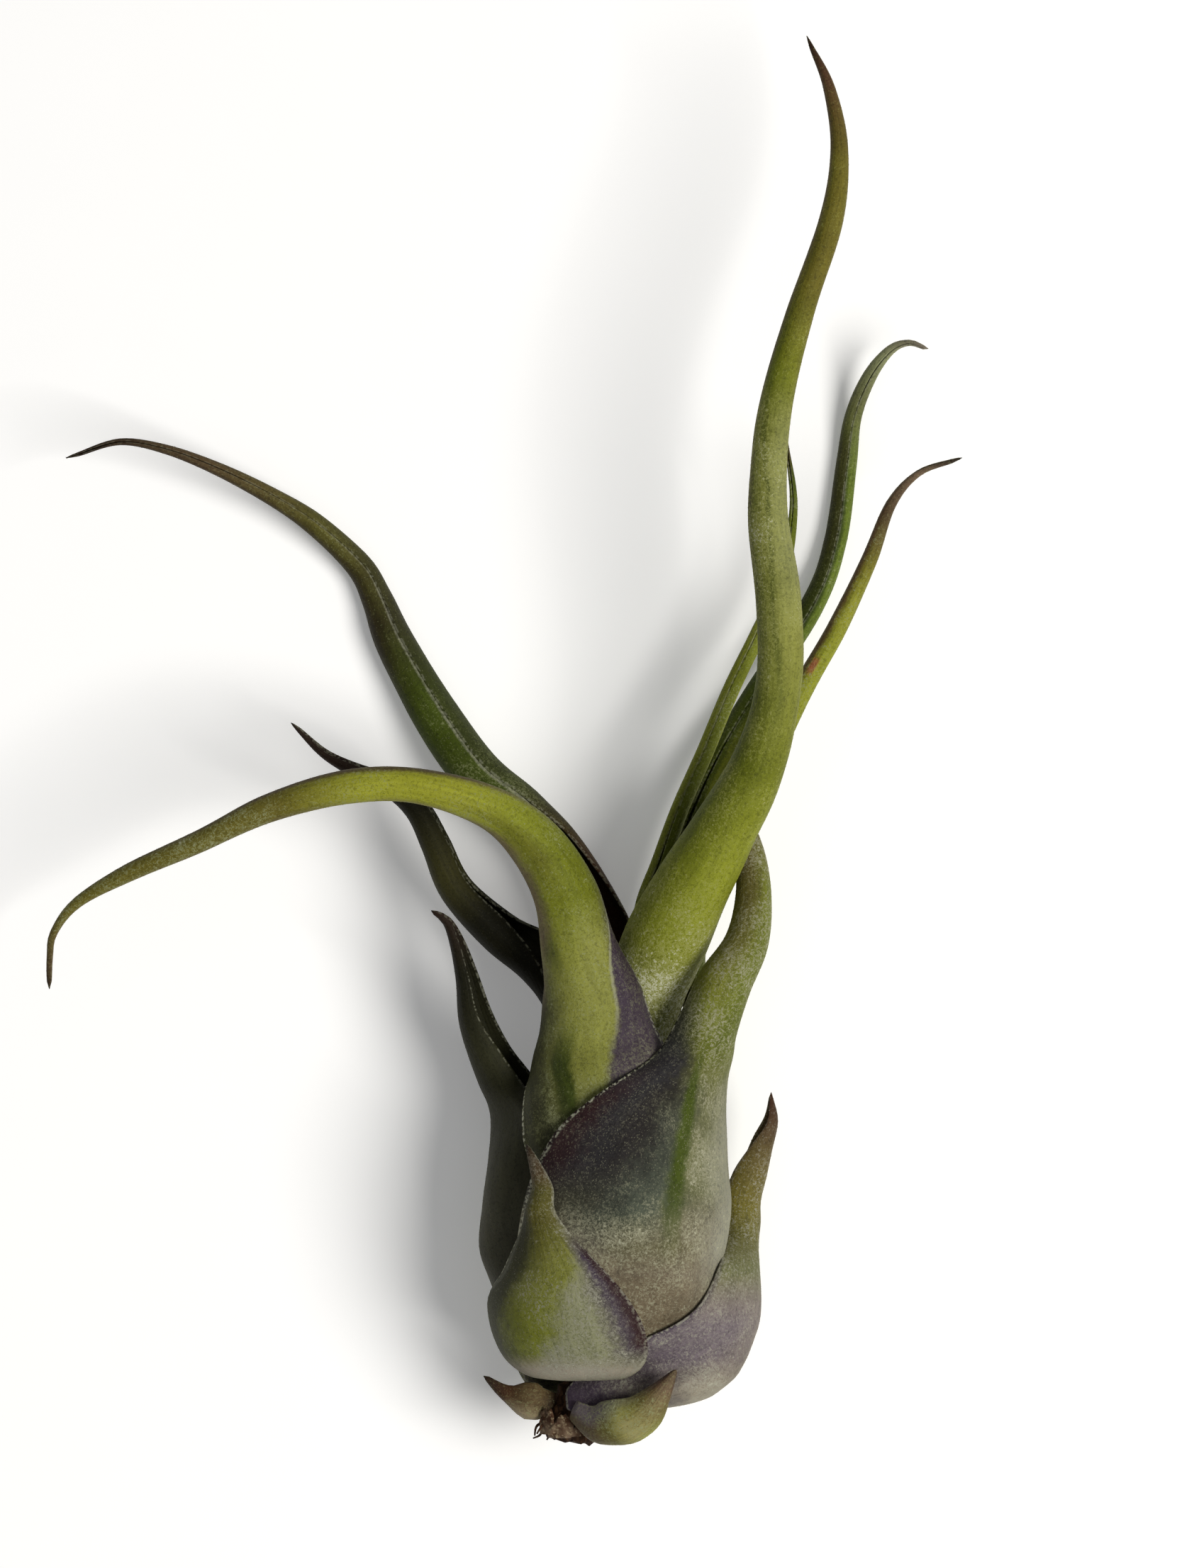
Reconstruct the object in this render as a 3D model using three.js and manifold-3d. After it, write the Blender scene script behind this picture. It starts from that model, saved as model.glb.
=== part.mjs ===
import * as THREE from "three";
import { mergeVertices } from "three/addons/utils/BufferGeometryUtils.js";
import Module from "manifold-3d";

// A medusa's head air plant, lying on its back as picked. Millimetres, +Z up.
// +Y runs along the plant from its roots to its leaf tips, +X is the plant's right seen from above.
// The origin is on the small flat spot at the back of the bulb, where the plant rests.

// Driving dimensions of the bulb and its leaves
const AXIS_Z = 17.8; // height of the bulb's axis above the surface
const WIDEST_Y = 0; // below this height the sheaths round in to the stem
const LAYER = 1.7; // how much deeper each covered sheath lies than the one over it
const LAYER_FADE = 36; // degrees past a sheath's margin over which its cover fades
const NECK_FADE = 9; // millimetres past a sheath's top over which its cover fades
const COVER_LOW_Y = -8; // below this height a sheath keeps the layers it has here
const BASE_ROUNDING = 2.2; // exponent of the rounded bottom of every sheath
const LEAF_THICK = 0.9;
const MARGIN_THICK = 0.65;
const MARGIN_TAPER = 4; // exponent that keeps the thinning close to the margins
const TUBE_FILL = 0.7; // wall of a thin rolled tip, as a share of its radius
const STEM_CLEARANCE = 0.75; // from the stem to the foot of a sheath
const NECK_RINGS = 3; // rings over which a neck turns square to its blade
const COLUMNS = 10; // points across a leaf
const ROW_STEP = 4.2; // spacing of the points along a leaf

// The bulb: height along the plant, x of its axis, outer radius
const BULB = [
  [-24, -7.2, 18.2],
  [-20, -5, 18.2],
  [-16, -2.8, 18.2],
  [-12, -1.6, 18.2],
  [-6, -0.9, 18.2],
  [0, -1, 18.2],
  [5, -1.3, 18.1],
  [10, -1.5, 17.5],
  [20, -1.2, 16.4],
  [25, 0.2, 15.2],
  [30, 2.2, 13.9],
  [34, 3, 13.4],
  [45, 4, 12.6],
];

// The stem: height along the plant, radius
const STEM = [
  [-24.3, 2.4],
  [-23.6, 3.6],
  [-20, 4.1],
  [-15, 4.4],
  [-8, 4],
  [0, 3.1],
  [8, 1.6],
];

const STEM_RINGS = 14;
const STEM_SIDES = 12;
const STEM_SCAR = 0.3; // depth of the scars of dropped leaves
const STEM_SCARS = 4;
const SCAR_TURN = 2.4; // radians that the scars turn by from ring to ring
const SCARS_BELOW_Y = -21;

// Root stubs: angle round the stem, height where they start, length
const ROOTS = [
  [-55, -20.6, 5.2],
  [-100, -22.2, 4.2],
  [150, -21.4, 5.6],
  [190, -22.6, 5],
  [232, -20.8, 4.6],
];
const ROOT_RADIUS = 0.5;
const ROOT_SIDES = 5;
const ROOT_SUNK = 1.2; // how deep a root starts inside the stem
const ROOT_STEPS = 5;
const ROOT_BEND = 0.25; // share of its reach that a root loses as it bends
const ROOT_DROOP = 0.55; // how far its tip bends down, as a share of its length

// Leaves from the outside of the bulb inwards. Angles are in degrees round the bulb's axis, 0 towards
// +Z and positive towards +X. A sheath row is [height, left margin, right margin, lift], where lift
// stands the middle off the bulb. A blade row is [x, y, z, radius, roll], where roll is the angle from
// the middle of the leaf to its margins. A second roll is that of the right margin where it differs.
const LEAVES = [
  {
    name: "leaf_03_front_left_short",
    colour: 0x7c8052,
    facing: -33,
    base: -15.9,
    sheath: [
      [-15.9, -75, 18],
      [-15.3, -88, 22],
      [-14, -95, 25],
      [-11.8, -94, 23.5],
      [-8, -88, 17],
      [-4.1, -72, 8.7],
      [-0.7, -60, 0, 0.2],
      [2.4, -53, -9, 0.5],
      [5.4, -46, -18, 0.8],
    ],
    blade: [
      [-10.6, 8.6, 32.2, 2.4, 85],
      [-10.3, 11.6, 32.3, 1.7, 90],
      [-11.3, 14.4, 32, 1, 95],
      [-12.4, 17, 31.3, 0.4, 100],
    ],
  },
  {
    name: "leaf_04_right_short",
    colour: 0x817a72,
    facing: 105,
    base: -20.3,
    sheath: [
      [-20.3, -25, 165],
      [-19.8, -22, 165],
      [-18.6, -14, 165, 0.6],
      [-17.2, 1, 164, 1.2],
      [-15.4, 28, 162, 1.9],
      [-12.4, 28, 160, 2.4],
      [-10, 22.5, 158, 2.8],
      [-7.9, 36, 156, 3.1],
      [-5.4, 48, 152, 3.5],
      [-2.4, 62, 146, 3.6],
      [0.5, 74, 140, 3.6],
    ],
    blade: [
      [17.7, 5.2, 12.2, 2.5, 95],
      [17.8, 9.4, 12.2, 2.3, 105],
      [18.8, 13.2, 12.6, 2.1, 110],
      [20.2, 17.2, 13.4, 1.6, 115],
      [21.4, 20.8, 14.6, 1, 120],
      [21.8, 23.8, 16, 0.4, 120],
    ],
  },
  {
    name: "leaf_05_back_short",
    colour: 0x6f6b58,
    facing: 178,
    base: -18.6,
    sheath: [
      [-18.6, 108, 246],
      [-18, 106, 248],
      [-16, 104, 250],
      [-12, 104, 250],
      [-6, 106, 249],
      [0, 108, 248],
      [8, 116, 240],
      [15, 130, 226],
      [20, 145, 210],
    ],
    blade: [
      [-0.8, 26, 3.4, 2.6, 85],
      [-0.1, 31, 3.6, 2.1, 95],
      [0.8, 36.5, 4.3, 1.5, 105],
      [1.6, 41, 5.4, 0.9, 115],
      [1.9, 44.2, 6.8, 0.4, 120],
    ],
  },
  {
    name: "leaf_06_front_right",
    colour: 0x7f8666,
    facing: 43,
    base: -13.9,
    sheath: [
      [-13.9, -62, 115],
      [-13.3, -62, 116],
      [-11.5, -62, 118],
      [-7.5, -62, 120],
      [-5, -61, 120],
      [-2.5, -59, 120],
      [1, -56, 119],
      [5, -51, 115],
      [9.5, -45, 110],
      [14.1, -37, 104],
      [20.2, -25.5, 98],
      [24.5, -12, 94],
      [27.3, 0, 90],
    ],
    blade: [
      [10.2, 30.9, 24, 6.6, 84],
      [12.4, 34.6, 26.9, 4.7, 105],
      [15.2, 40.4, 27.4, 3.9, 135],
      [18.1, 46, 26.2, 3, 150],
      [19.3, 52, 24, 2.6, 150],
      [19.3, 58, 21.3, 2.3, 150],
      [17.9, 63.5, 19.4, 1.6, 150],
      [16.4, 68, 18, 0.5, 150],
    ],
  },
  {
    name: "leaf_07_arching_left",
    colour: 0x8d8f45,
    facing: -38,
    base: -12.4,
    sheath: [
      [-12.4, -118, 45],
      [-11.8, -118, 50],
      [-10, -110, 58],
      [-5, -88, 60],
      [-2.5, -72, 60],
      [0, -58, 60],
      [4, -47, 56],
      [9, -40, 50],
      [13.3, -43, 44],
      [18.3, -51, 37],
      [24.8, -66, 28],
    ],
    blade: [
      [-0.7, 29.5, 20.2, 10.4, 72, 92],
      [-2.4, 34, 21.8, 8.6, 85, 103],
      [-3.6, 39.5, 25.4, 7, 88, 118],
      [-5.4, 45.2, 27, 5.4, 130, 140],
      [-7.3, 53, 28.6, 4.6, 150],
      [-11.4, 60, 30.6, 3.9, 150],
      [-18, 65.2, 32.2, 3, 150],
      [-28, 68.3, 33, 2.5, 150],
      [-38, 68.2, 32.8, 2.45, 150],
      [-49, 65.4, 31.4, 1.95, 150],
      [-59, 60.8, 29.4, 1.55, 150],
      [-69, 56.2, 26.6, 1.25, 150],
      [-76, 51.8, 24.2, 0.8, 150],
      [-79.2, 47.4, 22.6, 0.55, 150],
      [-80.1, 44, 21.6, 0.45, 150],
      [-80.2, 40.5, 21, 0.35, 150],
    ],
  },
  {
    name: "leaf_08_left_short",
    colour: 0x37371f,
    facing: -105,
    base: -10.9,
    sheath: [
      [-10.9, -168, -20],
      [-10.3, -168, -20],
      [-8.5, -168, -22],
      [-4, -167, -26],
      [2, -165, -30],
      [9, -160, -34],
      [16, -150, -42],
      [21.5, -140, -58],
    ],
    blade: [
      [-14.6, 26, 15.2, 4.6, 80],
      [-17.3, 30.2, 16.2, 3.5, 105],
      [-19.9, 35.4, 16.9, 2.6, 130],
      [-20.8, 41, 17.9, 1.8, 140],
      [-22.2, 45.8, 19.3, 1.15, 145],
      [-24, 49, 20.6, 0.7, 145],
      [-25.7, 50.2, 21.2, 0.35, 145],
    ],
  },
  {
    name: "leaf_09_right_lower",
    colour: 0x7a7a38,
    facing: 110,
    base: -9.4,
    sheath: [
      [-9.4, 25, 192],
      [-8.8, 25, 192],
      [-7, 25, 192],
      [-3, 26, 190],
      [1, 28, 188],
      [6, 31, 185],
      [13, 37, 181],
      [20, 44, 174],
    ],
    blade: [
      [4.4, 27, 16.4, 9.2, 72, 58],
      [9.3, 33, 15.6, 4.6, 75, 66],
      [10.8, 38, 15.2, 3.5, 95, 80],
      [12.4, 45, 14.6, 2.6, 130, 120],
      [14.6, 53.5, 14.4, 2.2, 145],
      [18.6, 65, 14.6, 1.95, 145],
      [25.4, 80.5, 15, 1.65, 145],
      [31, 90.5, 15.8, 1.4, 145],
      [35.8, 100, 17, 1.15, 145],
      [39, 108, 19, 0.75, 145],
      [43, 112.3, 21, 0.45, 145],
      [47.3, 114, 23, 0.3, 145],
    ],
  },
  {
    name: "leaf_10_left_middle",
    colour: 0x34331c,
    facing: -125,
    base: -7.9,
    sheath: [
      [-7.9, -210, -55],
      [-7.3, -210, -55],
      [-5.5, -210, -55],
      [-1, -208, -56],
      [6, -206, -58],
      [13, -203, -62],
      [20, -200, -66],
    ],
    blade: [
      [-0.8, 27, 15.6, 9.6, 78, 55],
      [-2.6, 33, 13.2, 5.9, 80, 72],
      [-6.2, 38.5, 13.2, 4.6, 100, 78],
      [-11.3, 44, 14.1, 3.6, 130, 120],
      [-16.6, 47.6, 15, 2.95, 145],
      [-22.6, 53.4, 15.7, 2.45, 150],
      [-25.7, 60, 16.3, 2.15, 150],
      [-28.4, 65, 17, 1.85, 150],
      [-32.6, 68.4, 17.6, 1.5, 150],
      [-37.3, 70.8, 18, 1.05, 150],
      [-41.4, 73.2, 18.6, 0.7, 150],
      [-45, 76.1, 19.6, 0.35, 150],
    ],
  },
  {
    name: "leaf_11_tall_centre",
    colour: 0x87873f,
    facing: 8,
    base: -6.4,
    sheath: [
      [-6.4, -76, 100],
      [-5.8, -76, 100],
      [-4, -76, 100],
      [-1, -76, 100],
      [6, -75, 100],
      [13, -74, 100],
    ],
    blade: [
      [-0.3, 20.6, 17.9, 11.2, 78, 92],
      [1.2, 27, 17.8, 8.7, 80, 92],
      [2.7, 34, 17.4, 6.1, 96, 104],
      [4.2, 39.8, 19, 5.7, 118, 116],
      [6.5, 46.6, 22, 5.4, 140],
      [10.1, 54, 24.6, 4.95, 150],
      [14.8, 61.8, 27, 4.5, 150],
      [19.9, 71.4, 29.4, 3.9, 150],
      [22.6, 82, 31.4, 3.25, 150],
      [22.7, 94, 32.6, 3.25, 150],
      [21.2, 107.4, 32.6, 2.75, 150],
      [22.2, 121, 32, 2.35, 150],
      [25.6, 134.4, 31.4, 2, 150],
      [30.1, 148, 30.2, 1.7, 150],
      [31.2, 158, 28.8, 1.25, 150],
      [29.8, 166.5, 27.2, 0.85, 150],
      [27.5, 172.2, 25.8, 0.35, 150],
    ],
  },
  {
    name: "leaf_12_right_upper",
    colour: 0x5f7338,
    facing: 140,
    base: -4.9,
    sheath: [
      [-4.9, 50, 230],
      [-4.3, 50, 230],
      [-2.5, 50, 230],
      [1, 50, 230],
      [6, 51, 229],
      [13, 54, 226],
    ],
    blade: [
      [0.6, 19.6, 16.6, 9.6, 84, 80],
      [2.4, 27, 15.2, 6, 80, 68],
      [3.4, 33, 11.4, 4.8, 62, 66],
      [5.5, 38.5, 9.9, 3.6, 66, 82],
      [7.2, 46, 9.6, 2.8, 120],
      [9, 56, 8.6, 2.4, 145],
      [13, 68, 7.2, 2.05, 145],
      [18.9, 79.5, 5.6, 1.85, 145],
      [28, 93.9, 2.9, 1.7, 145],
      [31.3, 103, 1.62, 1.6, 145],
      [33, 114, 1.5, 1.45, 145],
      [34, 121, 2.8, 1.2, 145],
      [36.2, 126.3, 5.6, 1, 145],
      [39, 129.6, 8.6, 0.7, 145],
      [41.6, 130.4, 10.4, 0.45, 145],
      [43.6, 129.8, 11.4, 0.3, 145],
    ],
  },
  {
    name: "leaf_13_upper_left",
    colour: 0x454b28,
    facing: -130,
    base: -3.4,
    sheath: [
      [-3.4, -225, -62],
      [-2.8, -225, -62],
      [-1, -225, -62],
      [2.5, -224, -62],
      [6, -224, -62],
      [13, -223, -62],
    ],
    blade: [
      [0.2, 19.6, 16.8, 7.8, 93],
      [0.4, 27, 16.4, 5, 90],
      [2, 33, 14.4, 4.7, 88],
      [0.6, 39.5, 12.8, 4.3, 110],
      [-2, 47.5, 10.8, 4.2, 143],
      [-8.1, 58.3, 8.6, 3.8, 155],
      [-13.5, 64.2, 7.2, 3.6, 160],
      [-19.4, 70.1, 5.9, 3.4, 162],
      [-25.5, 79, 4, 3.1, 165],
      [-31.1, 89, 2.62, 2.6, 165],
      [-33.8, 95, 2.3, 2.25, 165],
      [-36.8, 99.6, 2.8, 1.95, 162],
      [-43, 105.4, 5.2, 1.6, 160],
      [-49.4, 109.5, 7.8, 1.25, 155],
      [-57, 113.3, 10.6, 0.95, 150],
      [-64, 115.6, 13.2, 0.7, 150],
      [-70.4, 116.5, 15.6, 0.48, 150],
      [-76.2, 115.1, 17.6, 0.3, 150],
    ],
  },
  {
    name: "leaf_14_inner",
    colour: 0x64783c,
    facing: 170,
    base: -1.9,
    sheath: [
      [-1.9, 70, 270],
      [-1.3, 70, 270],
      [0.5, 70, 270],
      [3, 70, 270],
      [6, 70, 270],
      [13, 71, 269],
    ],
    blade: [
      [0.6, 19.6, 17.4, 5.6, 100],
      [1.6, 27, 17.2, 3.5, 108],
      [2.9, 33, 17.1, 2.9, 115],
      [3.4, 41, 16.6, 1.9, 130],
      [4, 50.3, 15.9, 1.6, 145],
      [5.9, 57, 15, 1.4, 145],
      [8.5, 64.7, 14, 1.3, 145],
      [12.3, 73.3, 12.8, 1.25, 145],
      [16, 81.9, 11.8, 1.2, 145],
      [20, 89.6, 11.3, 1.1, 145],
      [23.6, 98, 11.6, 0.9, 145],
      [25.1, 107.7, 12.8, 0.6, 145],
      [24.2, 115.8, 14.4, 0.3, 145],
    ],
  },
  {
    name: "leaf_02_bottom_front",
    colour: 0x8a8650,
    outward: [0.15, -0.75, 0.6],
    blade: [
      [-2.6, -21.2, 23.6, 3.3, 80],
      [-0.2, -21, 25.2, 3.9, 82],
      [2.2, -20.4, 27, 3.9, 82],
      [4.6, -19.2, 29, 3.1, 82],
      [6.4, -17.3, 31, 2, 88],
      [7.5, -15.6, 32.2, 1.1, 95],
      [8.1, -14.2, 32.9, 0.4, 100],
    ],
  },
  {
    name: "leaf_01_bottom_left",
    colour: 0x75695a,
    outward: [-0.1, -0.7, 0.7],
    blade: [
      [-10.9, -19, 17.6, 2.7, 95],
      [-12.2, -18.5, 17.8, 3.1, 95],
      [-13.6, -18.2, 18.1, 2.6, 100],
      [-15.1, -17.9, 18.4, 1.5, 105],
      [-16.6, -17.1, 18.7, 0.9, 110],
      [-18.3, -15.7, 19.1, 0.4, 110],
    ],
  },
];

const radians = THREE.MathUtils.degToRad;

// A smooth value of one column of rows at a key, where the first column holds the rising keys
function valueAt(rows, key, column) {
  const last = rows.length - 1;
  if (key <= rows[0][0]) return rows[0][column] ?? 0;
  if (key >= rows[last][0]) return rows[last][column] ?? 0;
  const i = rows.findIndex((row) => row[0] > key) - 1;
  const slope = (k) => {
    const a = rows[Math.max(k - 1, 0)];
    const b = rows[Math.min(k + 1, last)];
    return ((b[column] ?? 0) - (a[column] ?? 0)) / (b[0] - a[0]);
  };
  const span = rows[i + 1][0] - rows[i][0];
  const s = (key - rows[i][0]) / span;
  const from = rows[i][column] ?? 0;
  const to = rows[i + 1][column] ?? 0;
  return (
    from +
    (to - from) * s * s * (3 - 2 * s) +
    slope(i) * span * s * (1 - s) * (1 - s) -
    slope(i + 1) * span * s * s * (1 - s)
  );
}

// How far an outer sheath covers the one below it, from 0 to 1, at a height and an angle
function coverOf(leaf, y, angle) {
  const top = leaf.sheath[leaf.sheath.length - 1][0];
  const height = Math.max(y, leaf.sheath[0][0]);
  const left = valueAt(leaf.sheath, height, 1);
  const right = valueAt(leaf.sheath, height, 2);
  const middle = (left + right) / 2;
  const turn = THREE.MathUtils.euclideanModulo(angle - middle + 180, 360) - 180;
  const past = Math.abs(turn) - (right - left) / 2;
  const across = 1 - THREE.MathUtils.smoothstep(past, 0, LAYER_FADE);
  return across * (1 - THREE.MathUtils.smoothstep(y, top, top + NECK_FADE));
}

// The outer radius of a sheath, layered under the older ones and rounded in to the stem below
function sheathRadius(leaf, y, angle, lift) {
  const older = LEAVES.slice(0, LEAVES.indexOf(leaf));
  const height = Math.max(y, COVER_LOW_Y);
  const layers = older.reduce((sum, other) => sum + coverOf(other, height, angle), 0);
  const full = valueAt(BULB, Math.max(y, WIDEST_Y), 2) + lift - LAYER * layers;
  const drop = THREE.MathUtils.clamp((WIDEST_Y - y) / (WIDEST_Y - leaf.base), 0, 1);
  const round = Math.pow(1 - Math.pow(drop, BASE_ROUNDING), 1 / BASE_ROUNDING);
  const foot = valueAt(STEM, leaf.base, 1) + STEM_CLEARANCE;
  return foot + (full - foot) * round;
}

// One cross-section of a sheath: points from its left margin to its right margin
function sheathRing(leaf, [y, left, right, lift = 0]) {
  return {
    radius: sheathRadius(leaf, y, (left + right) / 2, lift),
    points: Array.from({ length: COLUMNS }, (_, i) => {
      const u = (2 * i) / (COLUMNS - 1) - 1;
      const angle = left + ((right - left) * (u + 1)) / 2;
      const stand = lift * Math.cos((u * Math.PI) / 2) ** 2;
      const r = sheathRadius(leaf, y, angle, stand);
      return new THREE.Vector3(
        valueAt(BULB, y, 1) + r * Math.sin(radians(angle)),
        y,
        AXIS_Z + r * Math.cos(radians(angle)),
      );
    }),
  };
}

// The rolled cross-sections of a blade, whose outer face turns with the blade as it bends
function bladeRings(leaf) {
  const centres = leaf.blade.map(([x, y, z]) => new THREE.Vector3(x, y, z));
  const curve = new THREE.CatmullRomCurve3(centres, false, "centripetal");
  const upright = new THREE.Vector3(0, 1, 0);
  const along = (i) => {
    const square = leaf.outward ? 1 : Math.min((i + 0.5) / NECK_RINGS, 1);
    return upright.clone().lerp(curve.getTangent(i / (centres.length - 1)), square).normalize();
  };
  const outward = leaf.outward
    ? new THREE.Vector3(...leaf.outward)
    : new THREE.Vector3(Math.sin(radians(leaf.facing)), 0, Math.cos(radians(leaf.facing)));
  let before = leaf.outward ? along(0) : upright;
  return leaf.blade.map(([, , , radius, rollLeft, rollRight = rollLeft], i) => {
    const tangent = along(i);
    outward.applyQuaternion(new THREE.Quaternion().setFromUnitVectors(before, tangent));
    outward.addScaledVector(tangent, -outward.dot(tangent)).normalize();
    before = tangent;
    const aside = new THREE.Vector3().crossVectors(tangent, outward);
    return {
      radius,
      points: Array.from({ length: COLUMNS }, (_, k) => {
        const angle = radians(THREE.MathUtils.lerp(-rollLeft, rollRight, k / (COLUMNS - 1)));
        return centres[i]
          .clone()
          .addScaledVector(outward, radius * Math.cos(angle))
          .addScaledVector(aside, radius * Math.sin(angle));
      }),
    };
  });
}

// Rows of points along a leaf: every column is a smooth curve through its rings
function leafRows(leaf) {
  const rings = [...(leaf.sheath ?? []).map((row) => sheathRing(leaf, row)), ...bladeRings(leaf)];
  const middle = Math.floor(COLUMNS / 2);
  const stops = [0];
  for (let i = 1; i < rings.length; i += 1) {
    const gap = rings[i].points[middle].distanceTo(rings[i - 1].points[middle]);
    const steps = Math.max(1, Math.round(gap / ROW_STEP));
    for (let k = 1; k <= steps; k += 1) stops.push(i - 1 + k / steps);
  }
  const columns = Array.from({ length: COLUMNS }, (_, k) =>
    new THREE.CatmullRomCurve3(rings.map((ring) => ring.points[k]), false, "catmullrom", 0.5),
  );
  return stops.map((stop) => {
    const i = Math.min(Math.floor(stop), rings.length - 2);
    const radius = THREE.MathUtils.lerp(rings[i].radius, rings[i + 1].radius, stop - i);
    const points = columns.map((curve) => curve.getPoint(stop / (rings.length - 1)));
    for (const point of points) point.z = Math.max(point.z, 0);
    return { radius, points };
  });
}

// A slope along a list of points that stays true at both ends
function slopeAt(points, i) {
  const last = points.length - 1;
  const step = (a, b) => new THREE.Vector3().subVectors(points[b], points[a]);
  if (i === 0) return step(0, 1).multiplyScalar(4).sub(step(0, 2));
  if (i === last) return step(last - 1, last).multiplyScalar(4).sub(step(last - 2, last));
  return step(i - 1, i + 1);
}

// The inner face of a leaf, set in from its outer face by its wall, which thins to the margins
function innerRows(rows) {
  return rows.map(({ radius, points }, i) =>
    points.map((point, k) => {
      const across = slopeAt(points, k);
      const along = slopeAt(rows.map((row) => row.points[k]), i);
      const inward = along.cross(across).normalize();
      const u = (2 * k) / (COLUMNS - 1) - 1;
      const wall = THREE.MathUtils.lerp(LEAF_THICK, MARGIN_THICK, Math.abs(u) ** MARGIN_TAPER);
      return point.clone().addScaledVector(inward, Math.min(wall, TUBE_FILL * radius));
    }),
  );
}

// A closed shell between two equal grids of points
function shellBetween(outer, inner) {
  const rows = outer.length;
  const columns = outer[0].length;
  const points = [...outer.flat(), ...inner.flat()];
  const out = (i, k) => i * columns + k;
  const inn = (i, k) => rows * columns + i * columns + k;
  const faces = [];
  const quad = (a, b, c, d) => faces.push(a, b, c, a, c, d);
  for (let i = 0; i < rows - 1; i += 1) {
    for (let k = 0; k < columns - 1; k += 1) {
      quad(out(i, k), out(i, k + 1), out(i + 1, k + 1), out(i + 1, k));
      quad(inn(i, k), inn(i + 1, k), inn(i + 1, k + 1), inn(i, k + 1));
    }
    quad(out(i, 0), out(i + 1, 0), inn(i + 1, 0), inn(i, 0));
    const e = columns - 1;
    quad(out(i + 1, e), out(i, e), inn(i, e), inn(i + 1, e));
  }
  for (let k = 0; k < columns - 1; k += 1) {
    const e = rows - 1;
    quad(out(0, k + 1), out(0, k), inn(0, k), inn(0, k + 1));
    quad(out(e, k), out(e, k + 1), inn(e, k + 1), inn(e, k));
  }
  const geometry = new THREE.BufferGeometry().setFromPoints(points);
  geometry.setIndex(faces);
  return geometry;
}

function leafMesh(leaf) {
  const rows = leafRows(leaf);
  const geometry = shellBetween(
    rows.map((row) => row.points),
    innerRows(rows),
  );
  geometry.computeVertexNormals();
  const material = new THREE.MeshStandardMaterial({
    color: leaf.colour,
    roughness: 0.8,
    metalness: 0,
  });
  const mesh = new THREE.Mesh(geometry, material);
  mesh.name = leaf.name;
  return mesh;
}

// A closed body from rings of points, with its ends closed on their middles
function bodyFromRings(rings) {
  const sides = rings[0].length;
  const middleOf = (ring) =>
    ring.reduce((sum, point) => sum.add(point), new THREE.Vector3()).divideScalar(sides);
  const points = [...rings.flat(), middleOf(rings[0]), middleOf(rings.at(-1))];
  const faces = [];
  for (let k = 0; k < sides; k += 1) {
    const next = (k + 1) % sides;
    for (let i = 0; i < rings.length - 1; i += 1) {
      const low = i * sides;
      const high = low + sides;
      faces.push(low + k, low + next, high + k, low + next, high + next, high + k);
    }
    const top = (rings.length - 1) * sides;
    faces.push(points.length - 2, next, k);
    faces.push(points.length - 1, top + k, top + next);
  }
  const geometry = new THREE.BufferGeometry().setFromPoints(points);
  geometry.setIndex(faces);
  return geometry;
}

// The woody stem, ridged where old leaves have dropped off
function stemBody() {
  const low = STEM[0][0];
  const high = STEM.at(-1)[0];
  return bodyFromRings(
    Array.from({ length: STEM_RINGS }, (_, i) => {
      const y = THREE.MathUtils.lerp(low, high, i / (STEM_RINGS - 1));
      return Array.from({ length: STEM_SIDES }, (_, k) => {
        const angle = (2 * Math.PI * k) / STEM_SIDES;
        const scar = y < SCARS_BELOW_Y ? STEM_SCAR * Math.sin(STEM_SCARS * angle + SCAR_TURN * i) : 0;
        const r = valueAt(STEM, y, 1) + scar;
        return new THREE.Vector3(
          valueAt(BULB, y, 1) + r * Math.sin(angle),
          y,
          AXIS_Z + r * Math.cos(angle),
        );
      });
    }),
  );
}

// One dry root stub: a thin bent rod that starts inside the stem
function rootBody([angle, y, length]) {
  const out = new THREE.Vector3(Math.sin(radians(angle)), 0, Math.cos(radians(angle)));
  const heart = new THREE.Vector3(valueAt(BULB, y, 1), y, AXIS_Z);
  const inside = valueAt(STEM, y, 1) - ROOT_SUNK;
  const route = [0, 0.4, 0.75, 1].map((share) =>
    heart
      .clone()
      .addScaledVector(out, inside + length * share * (1 - ROOT_BEND * share))
      .add(new THREE.Vector3(0, -ROOT_DROOP * length * share * share, 0)),
  );
  const curve = new THREE.CatmullRomCurve3(route);
  const outline = new THREE.Shape(
    Array.from({ length: ROOT_SIDES }, (_, k) => {
      const turn = (2 * Math.PI * k) / ROOT_SIDES;
      return new THREE.Vector2(ROOT_RADIUS * Math.cos(turn), ROOT_RADIUS * Math.sin(turn));
    }),
  );
  return new THREE.ExtrudeGeometry(outline, { extrudePath: curve, steps: ROOT_STEPS });
}

// A geometry as a solid that can be joined to others
function solidOf(geometry) {
  const bare = geometry.clone();
  bare.deleteAttribute("normal");
  bare.deleteAttribute("uv");
  const merged = mergeVertices(bare, 1e-4);
  return new wasm.Manifold(
    new wasm.Mesh({
      numProp: 3,
      vertProperties: merged.attributes.position.array,
      triVerts: new Uint32Array(merged.index.array),
    }),
  );
}

function geometryOf(solid) {
  const { vertProperties, triVerts } = solid.getMesh();
  const geometry = new THREE.BufferGeometry();
  geometry.setAttribute("position", new THREE.BufferAttribute(vertProperties, 3));
  geometry.setIndex(new THREE.BufferAttribute(triVerts, 1));
  return geometry;
}

function stemMesh() {
  const joined = ROOTS.reduce((sum, root) => sum.add(solidOf(rootBody(root))), solidOf(stemBody()));
  const geometry = geometryOf(joined);
  geometry.computeVertexNormals();
  const material = new THREE.MeshStandardMaterial({ color: 0x3b2a20, roughness: 0.95, metalness: 0 });
  const mesh = new THREE.Mesh(geometry, material);
  mesh.name = "stem_with_roots";
  return mesh;
}

const wasm = await Module();
wasm.setup();

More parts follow.
